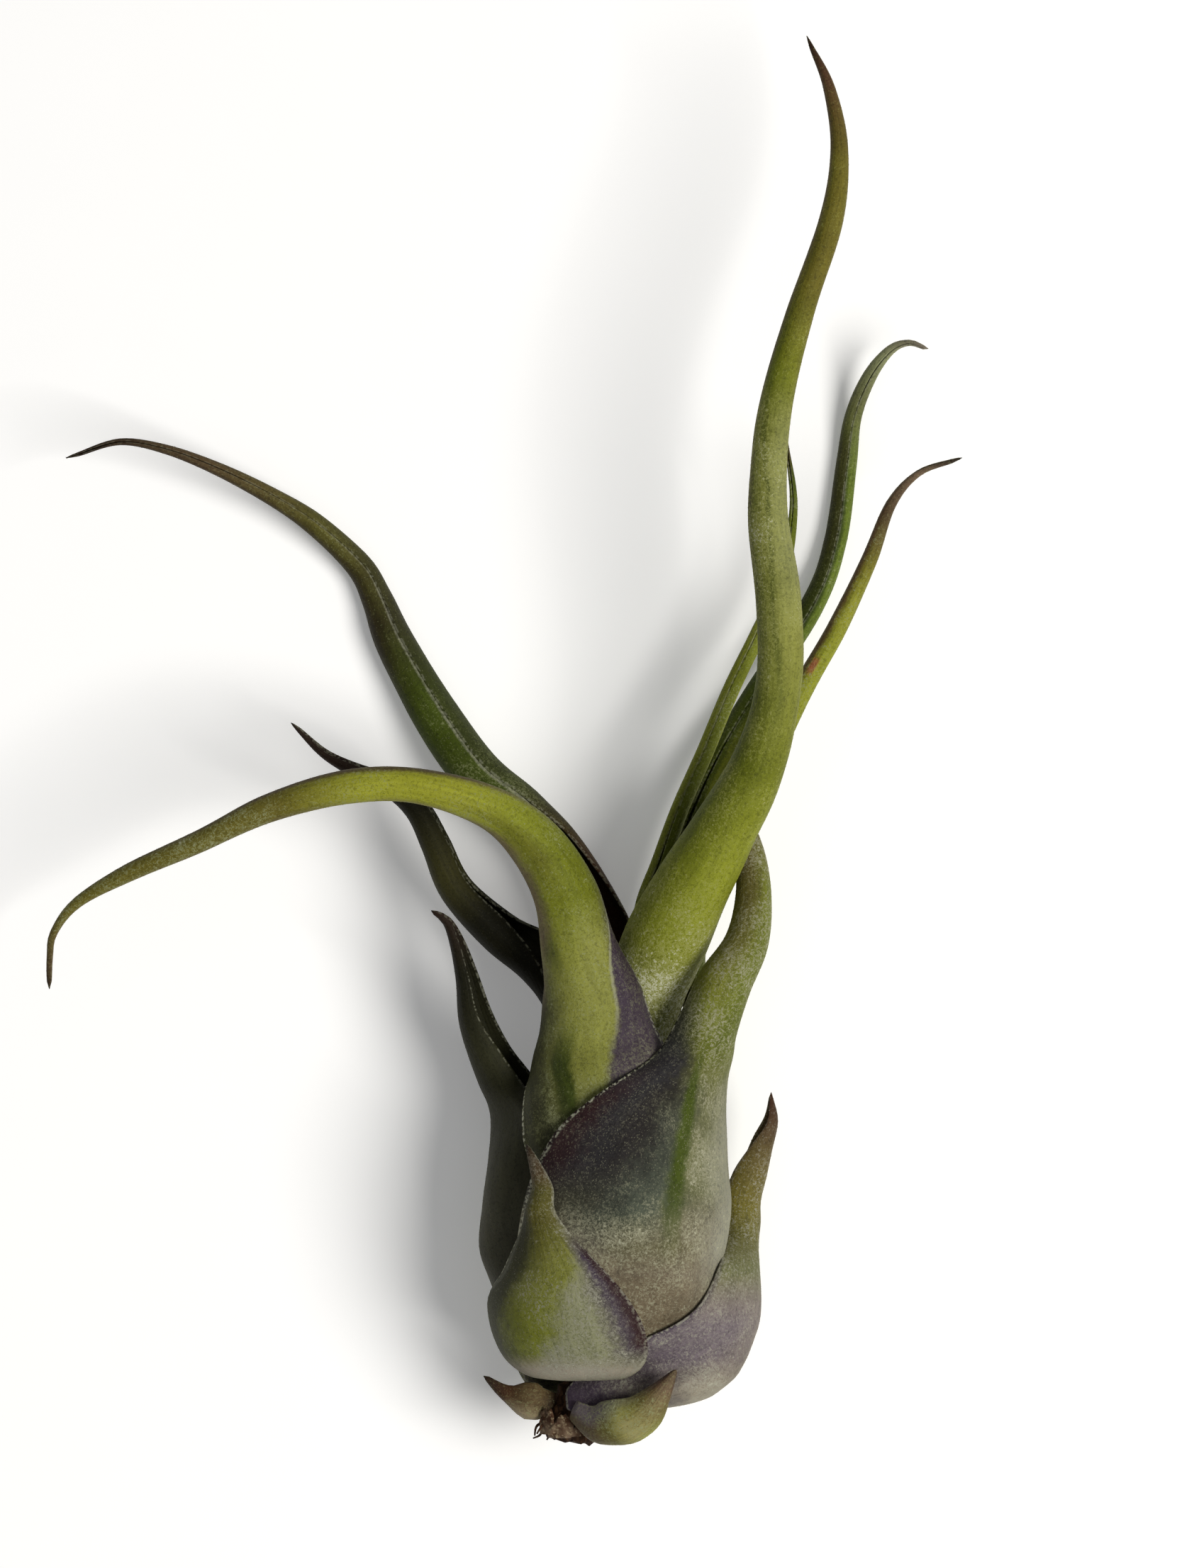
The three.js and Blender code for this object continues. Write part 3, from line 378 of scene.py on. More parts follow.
# How each leaf is coloured. Stops are (distance from the leaf's base in millimetres, value), and an
# amount runs from 0 to 1. Places across a leaf run from -1 at its left margin to 1 at its right one.
#   ground: the colour under all the rest
#   bands: strips of another colour, (middle, half width, softness, colour, amounts), laid on in order.
#     The middle is one place across the leaf, or stops where it moves.
#   felt: the grey down on the ground colour. bare: strips where it is rubbed off, and strips that keep it
#   off painted shade, each like a band without its colour. rim: the pale edge of the leaf.
#   sheen: how velvety it is
FINISHES = {
    "leaf_01_bottom_left": {
        "ground": ((0, "dark_brown"), (2.3, "umber"), (5.3, "umber"), (7.8, "rust"), (10.8, "dark_brown")),
        "bands": ((-0.2, 0.35, 0.3, "straw", ((0, 0), (2.3, 0.7), (5.3, 0.6), (8.3, 0))),),
        "felt": ((0, 0.2), (8, 0.1)),
    },
    "leaf_02_bottom_front": {
        "ground": (
            (0, "umber"), (5, "umber"), (8, "khaki"), (11, "lime"), (15, "khaki"), (19, "brown"),
            (21, "rust"),
        ),
        "bands": (
            (((0, -1.0), (6, -1.05), (14, -1.3)), 0.6, 0.25, "ash_purple", ((0, 1), (9, 0.9), (15, 0.3))),
            (0.0, 0.5, 0.3, "straw", ((8, 0), (11, 0.6), (15, 0.3))),
        ),
        "felt": ((0, 0.2), (9, 0.4), (17, 0.2)),
    },
    "leaf_03_front_left_short": {
        # The pale blush at the foot is partly the sheath's own pale colour, partly painted light on its
        # bottom, which faces away from the key light
        "ground": (
            (0, "blush"), (8, "blush"), (11, "yellow_olive"), (17, "yellow_olive"), (25, "pale_olive"),
            (31, "dim_olive"), (35, "dim_olive"), (37.5, "umber"), (44, "dark_brown"),
        ),
        "bands": (
            (-0.05, 0.3, 0.3, "dim_olive", ((12, 0), (20, 0.25), (28, 0.45), (34, 0.5), (36, 0))),
            # Painted shade: the deep green on the left side is partly the leaf's own darker skin, partly shade
            # on the side turned away from the key light
            (-1.0, 0.72, 0.28, "deep_green", ((4, 0.2), (11, 0.95), (32, 0.95), (37, 0))),
            (
                ((5, 0.5), (10, 0.65), (14, 0.9), (18, 1.0), (22, 1.08), (26, 1.3), (29, 1.6)),
                0.7, 0.16, "silver", ((6, 0.2), (11, 0.65), (28, 0.6)),
            ),
            (1.2, 0.5, 0.15, "purple", ((8, 0), (12, 0.9), (26, 1), (30, 0))),
            (1.05, 0.18, 0.07, "burgundy", ((10, 0), (13, 1), (26, 0.9), (30, 0))),
        ),
        "bare": (
            (((10, -0.1), (22, 0.1), (32, 0.35)), 0.45, 0.3, ((14, 0), (24, 0.35), (33, 0.6), (37, 0))),
            # This bare strip keeps the felt off the painted shade on the left side
            (-1.0, 0.74, 0.25, ((4, 0), (11, 0.97), (32, 0.9), (37, 0))),
        ),
        "felt": ((0, 0.55), (9, 0.5), (13, 0.3), (24, 0.28), (36, 0.35), (40, 0.5)),
        "felt_colour": "grey_felt",
        "rim": ((0, 0.1), (10, 0.2), (30, 0.35), (42, 0.4)),
    },
    "leaf_04_right_short": {
        "ground": (
            (0, "beige"), (17, "beige"), (25, "warm_grey"), (36, "warm_grey"), (41, "grey_olive"),
            (50, "khaki"), (60, "umber"), (65, "rust"),
        ),
        "bands": (
            (-0.8, 0.7, 0.4, "ash_purple", ((12, 0), (26, 1), (33, 0.9), (40, 0))),
            (TUCK_STREAK, 0.62, 0.25, "purple", ((0, 1), (20, 0.95), (25, 0.4), (30, 0.1), (36, 0))),
            # Painted shade: a soot-dark patch where the sheath runs in under the corner of the front-left
            # leaf, partly also the sheath's own dark purple
            (-0.75, 0.25, 0.2, "soot", ((15, 0), (19, 0.6), (22, 0.6), (26, 0))),
            (-1.05, 0.12, 0.06, "purple", ((14, 0.9), (34, 0.7), (60, 0.2))),
        ),
        "bare": ((TUCK_STREAK, 0.62, 0.25, ((0, 0.6), (20, 0.6), (27, 0.2), (31, 0))),),
        "felt": ((0, 0.35), (18, 0.36), (26, 0.26), (34, 0.2), (44, 0.3), (60, 0.1)),
        "felt_colour": "grey_felt",
        "rim": ((0, 0.3), (30, 0.4), (50, 0.2)),
    },
    "leaf_05_back_short": {
        "ground": (
            (0, "warm_grey"), (15, "ash_purple"), (35, "grey_olive"), (50, "olive"), (66, "umber"),
            (72, "rust"),
        ),
        "bands": ((0.0, 0.3, 0.2, "moss", ((0, 0), (15, 0.5), (40, 0.8), (60, 0.2))),),
        "felt": ((0, 0.6), (30, 0.5), (60, 0.3)),
        "rim": ((0, 0.4), (40, 0.5), (60, 0.1)),
    },
    "leaf_06_front_right": {
        "ground": (
            (0, "clay"), (19, "clay"), (25, "warm_grey"), (32, "grey_olive"), (46, "grey_olive"),
            (54, "olive"), (64, "yellow_olive"), (80, "yellow_olive"), (87, "khaki"), (93, "brown"),
        ),
        "bands": (
            (0.85, 0.62, 0.3, "silver", ((14, 0.2), (24, 1), (40, 0.85), (50, 0))),
            (-0.33, 0.24, 0.18, "teal_grey", ((22, 0), (29, 1), (42, 1), (50, 0))),
            (-0.1, 0.3, 0.2, "dim_olive", ((20, 0), (24, 0.6), (29, 0.1))),
            # Painted shade: the soot and slate on the left wing are partly the sheath's own dark purple-grey,
            # partly shade on the side turned away from the key light
            (
                ((22, -1.0), (35, -1.0), (41, -0.88), (47, -0.95), (54, -1.15), (60, -1.4)),
                0.75, 0.3, "soot", ((22, 0), (30, 0.7), (36, 1), (52, 1), (62, 0)),
            ),
            (-1.1, 0.5, 0.3, "slate", ((26, 0), (36, 0.8), (50, 1), (58, 0.7), (64, 0))),
            (-1.05, 0.3, 0.15, "burgundy", ((30, 0), (37, 0.8), (45, 0.9), (50, 0.3), (54, 0))),
            (
                FRONT_STREAK, 0.055, 0.035, "leaf_green",
                ((21, 0), (27, 0.6), (34, 1), (47, 1), (54, 0.3), (58, 0)),
            ),
            (-0.7, 0.5, 0.25, "umber", ((60, 0), (69, 0.6), (78, 0.75), (86, 0.75))),
            (0.1, 0.35, 0.3, "moss", ((50, 0), (56, 0.7), (72, 0.6), (84, 0.3))),
        ),
        "bare": (
            (FRONT_STREAK, 0.08, 0.05, ((22, 0), (28, 0.6), (36, 0.8), (47, 0.8), (54, 0.3), (58, 0))),
            # This bare strip keeps the felt off the dark left wing, which is partly painted shade
            (
                ((22, -1.0), (47, -0.8), (54, -1.0)),
                0.6, 0.3, ((26, 0), (36, 0.6), (48, 0.5), (54, 0.2), (60, 0)),
            ),
        ),
        "felt": (
            (0, 0.3), (18, 0.25), (26, 0.45), (38, 0.33), (46, 0.35), (56, 0.36), (70, 0.32), (86, 0.36),
        ),
        "felt_colour": "pale_felt",
        "sheen": 0.12,
        "rim": ((0, 0.2), (22, 0.4), (36, 0.6), (42, 1), (60, 1), (66, 0.2)),
    },
    "leaf_07_arching_left": {
        "ground": (
            (0, "grey_olive"), (40, "grey_olive"), (48, "pale_olive"), (66, "pale_olive"), (72, "olive"),
            (78, "olive"), (84, "yellow_olive"), (92, "lime"), (104, "lime"), (116, "khaki"), (150, "khaki"),
            (160, "umber"), (166, "dark_brown"),
        ),
        "bands": (
            (0.12, 0.22, 0.2, "yellow_olive", ((60, 0), (66, 0.3), (84, 0.3), (92, 0))),
            (
                ARCH_STREAK, 0.12, 0.06, "forest",
                ((38, 0), (43, 0.9), (50, 0.9), (57, 0), (63, 0), (66, 0.6), (70, 0)),
            ),
            # Painted shade: the deep green along the left margin is partly the leaf's own darker skin, partly
            # shade on the side turned away from the key light
            (-1.0, 0.68, 0.3, "deep_green", ((0, 0.7), (46, 0.92), (62, 0.92), (70, 0.6), (78, 0))),
            (
                ((56, -1.05), (62, -0.8), (70, -0.5), (84, -0.48), (96, -0.6)),
                0.45, 0.18, "taupe", ((54, 0), (62, 0.8), (84, 0.8), (110, 0.4), (150, 0.5)),
            ),
            (0.2, 0.12, 0.12, "dim_olive", ((72, 0), (79, 0.6), (87, 0.4), (96, 0))),
            (
                ((44, 1.05), (50, 1.13), (54, 1.23), (60, 1.27), (63, 1.35), (66, 1.5), (70, 1.65)),
                0.75, 0.06, "purple", ((30, 0.9), (66, 1), (72, 0.2)),
            ),
            (1.1, 0.35, 0.2, "plum", ((44, 0), (52, 0.4), (60, 0.9), (68, 1), (76, 0))),
            (
                ((44, 0.3), (50, 0.38), (54, 0.48), (60, 0.52), (63, 0.6), (66, 0.75), (70, 0.9)),
                0.02, 0.015, "frost", ((50, 0), (58, 0.25), (68, 0.4), (74, 0)),
            ),
            (
                ((72, 1.25), (84, 1.1), (96, 1.0), (160, 1.0)),
                0.32, 0.1, "rust", ((76, 0), (84, 0.6), (92, 0.9), (112, 0.9), (140, 0.6), (160, 0.3)),
            ),
        ),
        "bare": (
            (ARCH_STREAK, 0.14, 0.05, ((38, 0), (43, 0.9), (52, 0.9), (57, 0), (63, 0), (66, 0.8), (71, 0))),
            (((44, 0.1), (56, 0.22), (84, 0.25)), 0.36, 0.25, ((40, 0), (50, 0.75), (80, 0.7), (96, 0.3))),
            # This bare strip keeps the felt off the painted shade along the left margin
            (-1.0, 0.55, 0.3, ((38, 0), (46, 0.5), (64, 0.5), (76, 0))),
        ),
        "felt": (
            (0, 0.45), (44, 0.4), (60, 0.35), (76, 0.25), (90, 0.15), (106, 0.2), (114, 0.4), (132, 0.55),
            (160, 0.3),
        ),
        "rim": ((0, 0.4), (40, 0.8), (66, 0.7), (90, 0.3), (150, 0.1)),
    },
    "leaf_08_left_short": {
        # The dark ground and felt of this leaf are partly its own deep green, partly painted shade, as it lies
        # in the shade of the arching leaf
        "ground": (
            (0, "shadow_grey"), (24, "shadow_grey"), (38, "deep_green"), (50, "deep_green"),
            (62, "black_green"), (72, "dark_brown"),
        ),
        "felt": ((0, 0.3), (40, 0.15), (60, 0.05)),
        "felt_colour": "shadow_grey",
        "sheen": 0.1,
        "rim": ((0, 0.2), (30, 0.25), (60, 0.2), (68, 0.1)),
    },
    "leaf_09_right_lower": {
        "ground": (
            (0, "grey_olive"), (40, "moss"), (84, "olive"), (104, "yellow_olive"), (118, "khaki"),
            (126, "umber"), (134, "taupe"), (146, "soot"),
        ),
        "bands": (
            (1.0, 0.35, 0.2, "umber", ((60, 0.4), (120, 0.8))),
            (-1.0, 0.24, 0.12, "brown", ((66, 0.2), (84, 0.9), (124, 0.8), (130, 0))),
            (-0.4, 0.3, 0.2, "lime", ((80, 0), (94, 0.4), (114, 0.5), (122, 0))),
            (-0.68, 0.1, 0.05, "blemish", ((100, 0), (101, 0.9), (102.6, 0.9), (103.4, 0))),
        ),
        "felt": ((0, 0.4), (60, 0.25), (120, 0.15)),
    },
    "leaf_10_left_middle": {
        # The near-black ground and felt of this leaf are partly its own dark green, partly painted shade, as
        # it lies in the shade of the arching leaf
        "ground": (
            (0, "deep_green"), (40, "deep_green"), (56, "black_green"), (70, "black_green"),
            (78, "dark_olive"), (90, "black_green"), (102, "dark_brown"),
        ),
        "felt": ((0, 0.3), (46, 0.04), (90, 0.03)),
        "felt_colour": "shadow_grey",
        "sheen": 0.04,
        "rim": ((0, 0.1), (50, 0.25), (90, 0.2)),
    },
    "leaf_11_tall_centre": {
        "ground": (
            (0, "grey_olive"), (50, "grey_olive"), (58, "yellow_olive"), (72, "yellow_olive"), (88, "olive"),
            (108, "pale_olive"), (132, "pale_olive"), (144, "olive"), (158, "khaki"), (176, "khaki"),
            (188, "brown"), (197, "dark_brown"),
        ),
        "bands": (
            (-1.0, 0.75, 0.45, "moss", ((58, 0.2), (80, 0.8), (112, 0.7), (150, 0.4), (170, 0))),
            (1.1, 0.6, 0.4, "khaki", ((100, 0), (125, 0.6), (180, 0.7))),
            (0.35, 0.35, 0.25, "felt", ((108, 0), (118, 0.5), (132, 0.5), (142, 0))),
            (-0.62, 0.14, 0.1, "umber", ((100, 0), (122, 0.6), (176, 0.7))),
            (0.62, 0.12, 0.1, "brown", ((140, 0), (160, 0.6), (185, 0.7))),
            (
                ((98, 0.0), (105, -0.1), (112, -0.17), (119, -0.08), (128, -0.05), (137, -0.28)),
                0.05, 0.05, "forest", ((92, 0), (104, 0.45), (130, 0.6), (146, 0.2)),
            ),
        ),
        "bare": (
            (((60, 0.2), (90, 0.15), (160, 0.1)), 0.3, 0.25, ((60, 0), (70, 0.6), (110, 0.5), (124, 0.2))),
        ),
        "felt": ((0, 0.6), (52, 0.75), (60, 0.5), (70, 0.3), (100, 0.3), (120, 0.6), (134, 0.5), (146, 0.08)),
        "felt_colour": "lime_felt",
        "rim": ((0, 0.2), (60, 0.4), (120, 0.4), (180, 0.1)),
    },
    "leaf_12_right_upper": {
        "ground": (
            (0, "grey_olive"), (40, "olive"), (84, "olive"), (104, "fern"), (128, "fern"),
            (140, "grey_olive"), (148, "felt"), (156, "warm_grey"),
        ),
        "bands": (
            (0.75, 0.44, 0.04, "forest", ((60, 0.5), (100, 0.8), (124, 0.8), (132, 0))),
            (-1.0, 0.12, 0.04, "forest", ((60, 0.5), (100, 0.8), (124, 0.7), (134, 0))),
            (0.75, 0.44, 0.04, "dark_olive", ((100, 0), (118, 0.8), (132, 0.9), (140, 0))),
            (-0.98, 0.03, 0.02, "grey_felt", ((96, 0), (110, 0.15), (140, 0.15))),
        ),
        "bare": ((0.0, 1.1, 0.1, ((90, 0), (102, 0.9), (134, 0.8), (146, 0.3))),),
        "felt": ((0, 0.4), (60, 0.2), (110, 0.05)),
        "sheen": 0.06,
    },
    "leaf_13_upper_left": {
        "ground": (
            (0, "deep_green"), (38, "rust"), (66, "rust"), (76, "dark_olive"), (82, "leaf_green"),
            (100, "leaf_green"), (112, "dark_olive"), (130, "dim_olive"), (148, "umber"), (166, "dark_brown"),
        ),
        "bands": (
            (-0.9, 0.5, 0.3, "deep_green", ((70, 0), (84, 0.6), (120, 0.5), (140, 0))),
            (0.5, 0.25, 0.2, "dark_brown", ((96, 0), (108, 0.6), (150, 0.6))),
            (1.0, 0.03, 0.02, "grey_felt", ((66, 0), (76, 0.5), (120, 0.25), (140, 0))),
        ),
        "felt": ((0, 0.3), (70, 0.15), (82, 0.35), (97, 0.06), (150, 0.02)),
        "sheen": 0.1,
        "rim": ((0, 0.4), (60, 0.3), (70, 0.2), (120, 0.15), (140, 0.1)),
    },
    "leaf_14_inner": {
        "ground": (
            (0, "moss"), (56, "olive"), (84, "yellow_olive"), (106, "yellow_olive"), (122, "moss"),
            (126, "umber"),
        ),
        "bands": (
            (1.0, 0.08, 0.04, "grey_olive", ((56, 0), (66, 0.5), (104, 0.6), (114, 0))),
            (-0.85, 0.3, 0.1, "leaf_green", ((50, 0.3), (70, 0.6), (110, 0.3))),
        ),
        "felt": ((0, 0.3), (60, 0.2), (110, 0.1)),
    },
}

# What a leaf's finish holds where its own entry says nothing
PLAIN_FINISH = {
    "bands": (),
    "bare": (),
    "felt_colour": "felt",
    "sheen": 0.18,
    "rim": ((0, 0.2), (1, 0.2)),
}


class LeafSettings(bpy.types.PropertyGroup):
    thickness: bpy.props.FloatProperty(
        name="Leaf thickness",
        description="Thickness along the middle of a leaf",
        default=0.9 * MM,
        min=0.1 * MM,
        precision=5,
        unit="LENGTH",
    )
    margin_thickness: bpy.props.FloatProperty(
        name="Margin thickness",
        description="Thickness at the thin margins of a leaf",
        default=0.28 * MM,
        min=0.05 * MM,
        precision=5,
        unit="LENGTH",
    )
    margin_dip: bpy.props.FloatProperty(
        name="Margin dip",
        description="How far a sheath's margins press down on the leaf below",
        default=0.8 * MM,
        min=0.0,
        precision=5,
        unit="LENGTH",
    )
    row_step: bpy.props.FloatProperty(
        name="Row step",
        description="Spacing of the mesh rows along a leaf",
        default=0.95 * MM,
        min=0.2 * MM,
        precision=5,
        unit="LENGTH",
    )
    columns: bpy.props.IntProperty(
        name="Columns",
        description="Mesh points across a leaf",
        default=41,
        min=9,
    )
    dent_depth: bpy.props.FloatProperty(
        name="Dent depth",
        description="Depth of the broad uneven dents of a leaf",
        default=0.22 * MM,
        min=0.0,
        precision=5,
        unit="LENGTH",
    )
    furrow_depth: bpy.props.FloatProperty(
        name="Furrow depth",
        description="Depth of the fine furrows that run along a leaf",
        default=0.05 * MM,
        min=0.0,
        precision=5,
        unit="LENGTH",
    )


class ScaleSettings(bpy.types.PropertyGroup):
    per_square_mm: bpy.props.FloatProperty(
        name="Scales per square millimetre",
        description="How many water-drinking scales stand on a square millimetre of leaf",
        default=5.0,
        min=0.0,
    )
    length: bpy.props.FloatProperty(
        name="Scale length",
        description="Length of one scale",
        default=0.3 * MM,
        min=0.05 * MM,
        precision=6,
        unit="LENGTH",
    )
    height: bpy.props.FloatProperty(
        name="Scale height",
        description="How far the peak of a scale stands off the leaf",
        default=0.035 * MM,
        min=0.0,
        precision=6,
        unit="LENGTH",
    )
    paleness: bpy.props.FloatProperty(
        name="Scale paleness",
        description="How much paler than the leaf its scales are",
        default=0.3,
        min=0.0,
        max=1.0,
        subtype="FACTOR",
    )


class StageSettings(bpy.types.PropertyGroup):
    floor_colour: bpy.props.FloatVectorProperty(
        name="Floor colour",
        description="Colour of the plain floor",
        subtype="COLOR",
        default=(0.95, 0.95, 0.95),
        min=0.0,
        max=1.0,
    )
    key_power: bpy.props.FloatProperty(
        name="Key light",
        description="Power of the large soft light at the right",
        default=33.0,
        min=0.0,
        unit="POWER",
    )
    fill_power: bpy.props.FloatProperty(
        name="Fill light",
        description="Power of the wide light overhead",
        default=1.6,
        min=0.0,
        unit="POWER",
    )
    air_strength: bpy.props.FloatProperty(
        name="Air",
        description="Strength of the even light from all round",
        default=0.1,
        min=0.0,
    )
    camera_distance: bpy.props.FloatProperty(
        name="Camera distance",
        description="From the camera to the middle height of the plant",
        default=2.0,
        min=0.3,
        unit="LENGTH",
    )
    view_height: bpy.props.FloatProperty(
        name="View height",
        description="How much of the plant's length the picture spans at its middle height",
        default=0.2212,
        min=0.01,
        unit="LENGTH",
    )


def smooth(value, low, high):
    """A smooth step from 0 at low to 1 at high."""
    share = np.clip((value - low) / (high - low), 0, 1)
    return share * share * (3 - 2 * share)


def entry(row, column):
    """One column of a row, or 0 where the row ends before it."""
    return row[column] if column < len(row) else 0.0


def value_at(rows, key, column):
    """A smooth value of one column of rows at a key, where the first column holds the rising keys."""
    last = len(rows) - 1
    if key <= rows[0][0]:
        return entry(rows[0], column)
    if key >= rows[last][0]:
        return entry(rows[last], column)
    i = next(n for n, row in enumerate(rows) if row[0] > key) - 1

    def slope(k):
        a = rows[max(k - 1, 0)]
        b = rows[min(k + 1, last)]
        return (entry(b, column) - entry(a, column)) / (b[0] - a[0])

    span = rows[i + 1][0] - rows[i][0]
    s = (key - rows[i][0]) / span
    start = entry(rows[i], column)
    end = entry(rows[i + 1], column)
    return (
        start
        + (end - start) * s * s * (3 - 2 * s)
        + slope(i) * span * s * (1 - s) * (1 - s)
        - slope(i + 1) * span * s * s * (1 - s)
    )


def cover_of(leaf, y, angles):
    """How far an outer sheath covers the one below it, from 0 to 1, at a height and some angles."""
    sheath = leaf["sheath"]
    top = sheath[-1][0]
    height = max(y, sheath[0][0])
    left = value_at(sheath, height, 1)
    right = value_at(sheath, height, 2)
    turn = (angles - (left + right) / 2 + 180) % 360 - 180
    past = np.abs(turn) - (right - left) / 2
    across = 1 - smooth(past, 0, LAYER_FADE)
    return across * (1 - smooth(y, top, top + NECK_FADE))


def older_leaves(name):
    """The sheathed leaves that lie over the one of this name."""
    names = [n for n, leaf in LEAVES.items() if "sheath" in leaf]
    return [LEAVES[n] for n in names[: names.index(name)]]


def sheath_radius(name, y, angles, lift):
    """The outer radius of a sheath, layered under the older ones and rounded in to the stem below."""
    leaf = LEAVES[name]
    height = max(y, COVER_LOW_Y)
    layers = sum(cover_of(other, height, angles) for other in older_leaves(name))
    full = value_at(BULB, max(y, WIDEST_Y), 2) + lift - LAYER * layers
    drop = min(max((WIDEST_Y - y) / (WIDEST_Y - leaf["base"]), 0), 1)
    power = leaf.get("rounding", BASE_ROUNDING)
    rounding = (1 - drop**power) ** (1 / power)
    foot = value_at(STEM, leaf["base"], 1) + STEM_CLEARANCE
    return foot + (full - foot) * rounding


def sheath_ring(name, row, across, dip):
    """Points across a sheath at one height, from its left margin to its right margin."""
    leaf = LEAVES[name]
    y, left, right = row[:3]
    angles = left + (right - left) * (across + 1) / 2
    lift = entry(row, 3) * np.cos(across * math.pi / 2) ** 2
    press = dip * leaf.get("dip", 1) * smooth(np.abs(across), DIP_START, 1.0) * smooth(y, leaf["base"], 0.0)
    press = press + entry(row, 4) * smooth(across, *TUCK_SHARES)
    radius = sheath_radius(name, y, angles, lift) - press
    x = value_at(BULB, y, 1) + radius * np.sin(np.radians(angles))
    z = AXIS_Z + radius * np.cos(np.radians(angles))
    return np.stack([x, np.full_like(x, y), z], axis=1)


def route_tangents(points):
    """The direction of a smooth route at each of its points, which are weighed by their spacing."""
    ends = [2 * points[0] - points[1], *points, 2 * points[-1] - points[-2]]
    tangents = []
    for before, here, after in zip(ends, ends[1:], ends[2:]):
        first = math.sqrt((here - before).length)
        second = math.sqrt((after - here).length)
        slope = (here - before) / first - (after - before) / (first + second) + (after - here) / second
        tangents.append(slope.normalized())
    return tangents


def blade_rings(leaf, across):
    """The rolled cross-sections of a blade, whose outer face turns with the blade as it bends."""
    centres = [Vector(row[:3]) for row in leaf["blade"]]
    tangents = route_tangents(centres)
    upright = Vector((0, 1, 0))
    facing = math.radians(leaf.get("facing", 0))
    outward = Vector(leaf.get("outward", (math.sin(facing), 0, math.cos(facing))))
    before = tangents[0] if "outward" in leaf else upright
    rings = []
    for i, row in enumerate(leaf["blade"]):
        square = 1 if "outward" in leaf else min((i + 0.5) / NECK_RINGS, 1)
        tangent = upright.lerp(tangents[i], square).normalized()
        outward = before.rotation_difference(tangent) @ outward
        outward = (outward - outward.dot(tangent) * tangent).normalized()
        before = tangent
        aside = tangent.cross(outward)
        radius, left = row[3:5]
        right = row[5] if len(row) > 5 else left
        turn = value_at(leaf.get("turn", ((0, 0), (1, 0))), i, 1)
        angles = np.radians((left + right) / 2 * across + (right - left) / 2 + turn)
        ring = np.outer(np.cos(angles), outward) + np.outer(np.sin(angles), aside)
        rings.append(np.array(centres[i]) + radius * ring)
    return rings


def leaf_surface(name, columns, row_step, dip):
    """The outer face of a leaf as rows of points in millimetres, and the tube radius at each row."""
    leaf = LEAVES[name]
    across = np.linspace(-1, 1, columns)
    sheath = leaf.get("sheath", ())
    rings = [sheath_ring(name, row, across, dip) for row in sheath] + blade_rings(leaf, across)
    radii = [SHEATH_TUBE] * len(sheath) + [row[3] for row in leaf["blade"]]
    tip = rings[-1].mean(axis=0)
    point = tip + (tip - rings[-2].mean(axis=0)) * TIP_REACH
    rings.append(point + (rings[-1] - tip) * TIP_SIZE)
    radii.append(radii[-1] * TIP_SIZE)
    rings = np.array([2 * rings[0] - rings[1], *rings, 2 * rings[-1] - rings[-2]])
    rows = []
    tube = []
    for i in range(1, len(rings) - 2):
        p0, p1, p2, p3 = rings[i - 1 : i + 3]
        gap = np.linalg.norm(p2[columns // 2] - p1[columns // 2])
        steps = max(1, round(gap / row_step))
        for k in range(steps + (i == len(rings) - 3)):
            s = k / steps
            rows.append(
                p1 * (2 * s**3 - 3 * s**2 + 1)
                + p2 * (3 * s**2 - 2 * s**3)
                + (p2 - p0) * 0.5 * (s**3 - 2 * s**2 + s)
                + (p3 - p1) * 0.5 * (s**3 - s**2)
            )
            tube.append(radii[i - 1] + (radii[i] - radii[i - 1]) * s)
    return np.array(rows), np.array(tube)


def surface_normals(rows):
    """Unit normals on the outer face of a grid of points."""
    along = np.gradient(rows, axis=0)
    across = np.gradient(rows, axis=1)
    normals = np.cross(across, along)
    return normals / np.maximum(np.linalg.norm(normals, axis=2, keepdims=True), 1e-9)


def distances(points):
    """How far each point of a line of points lies from its start, along the line."""
    steps = np.linalg.norm(np.diff(points, axis=0), axis=1)
    return np.concatenate([[0], np.cumsum(steps)])


def uneven(rows, tube, settings, seed):
    """Adds the broad dents and the fine furrows that a grown leaf has."""
    lengths = distances(rows.mean(axis=1))
    depth = np.zeros(rows.shape[:2])
    for i, row in enumerate(rows):
        size = min(tube[i] / FULL_DENT_TUBE, 1)
        for k, point in enumerate(row):
            dent = noise.noise(Vector(point) / DENT_SPAN + Vector((seed, 0, 0)))
            furrow = noise.noise(Vector((k * FURROWS_PER_COLUMN, lengths[i] / FURROW_SPAN, seed)))
            ripple = noise.noise(Vector((k * RIPPLES_PER_COLUMN, lengths[i] / RIPPLE_SPAN, seed + 9)))
            fine = settings.furrow_depth * (furrow + RIPPLE_SHARE * ripple)
            depth[i, k] = size * (settings.dent_depth * dent + fine) / MM
    rows = rows + surface_normals(rows) * depth[:, :, None]
    rows[:, :, 2] = np.maximum(rows[:, :, 2], REST_HEIGHT)
    return rows


def grown_surface(name, seed):
    """The uneven outer face of a leaf as rows of points, and the tube radius at each row."""
    settings = bpy.context.scene.airplant_leaf
    rows, tube = leaf_surface(name, settings.columns, settings.row_step / MM, settings.margin_dip / MM)
    return uneven(rows, tube, settings, seed), tube


def mesh_of(bm, name):
    """A mesh of what was built, which ends the building."""
    mesh = bpy.data.meshes.new(name)
    bm.to_mesh(mesh)
    bm.free()
    return mesh


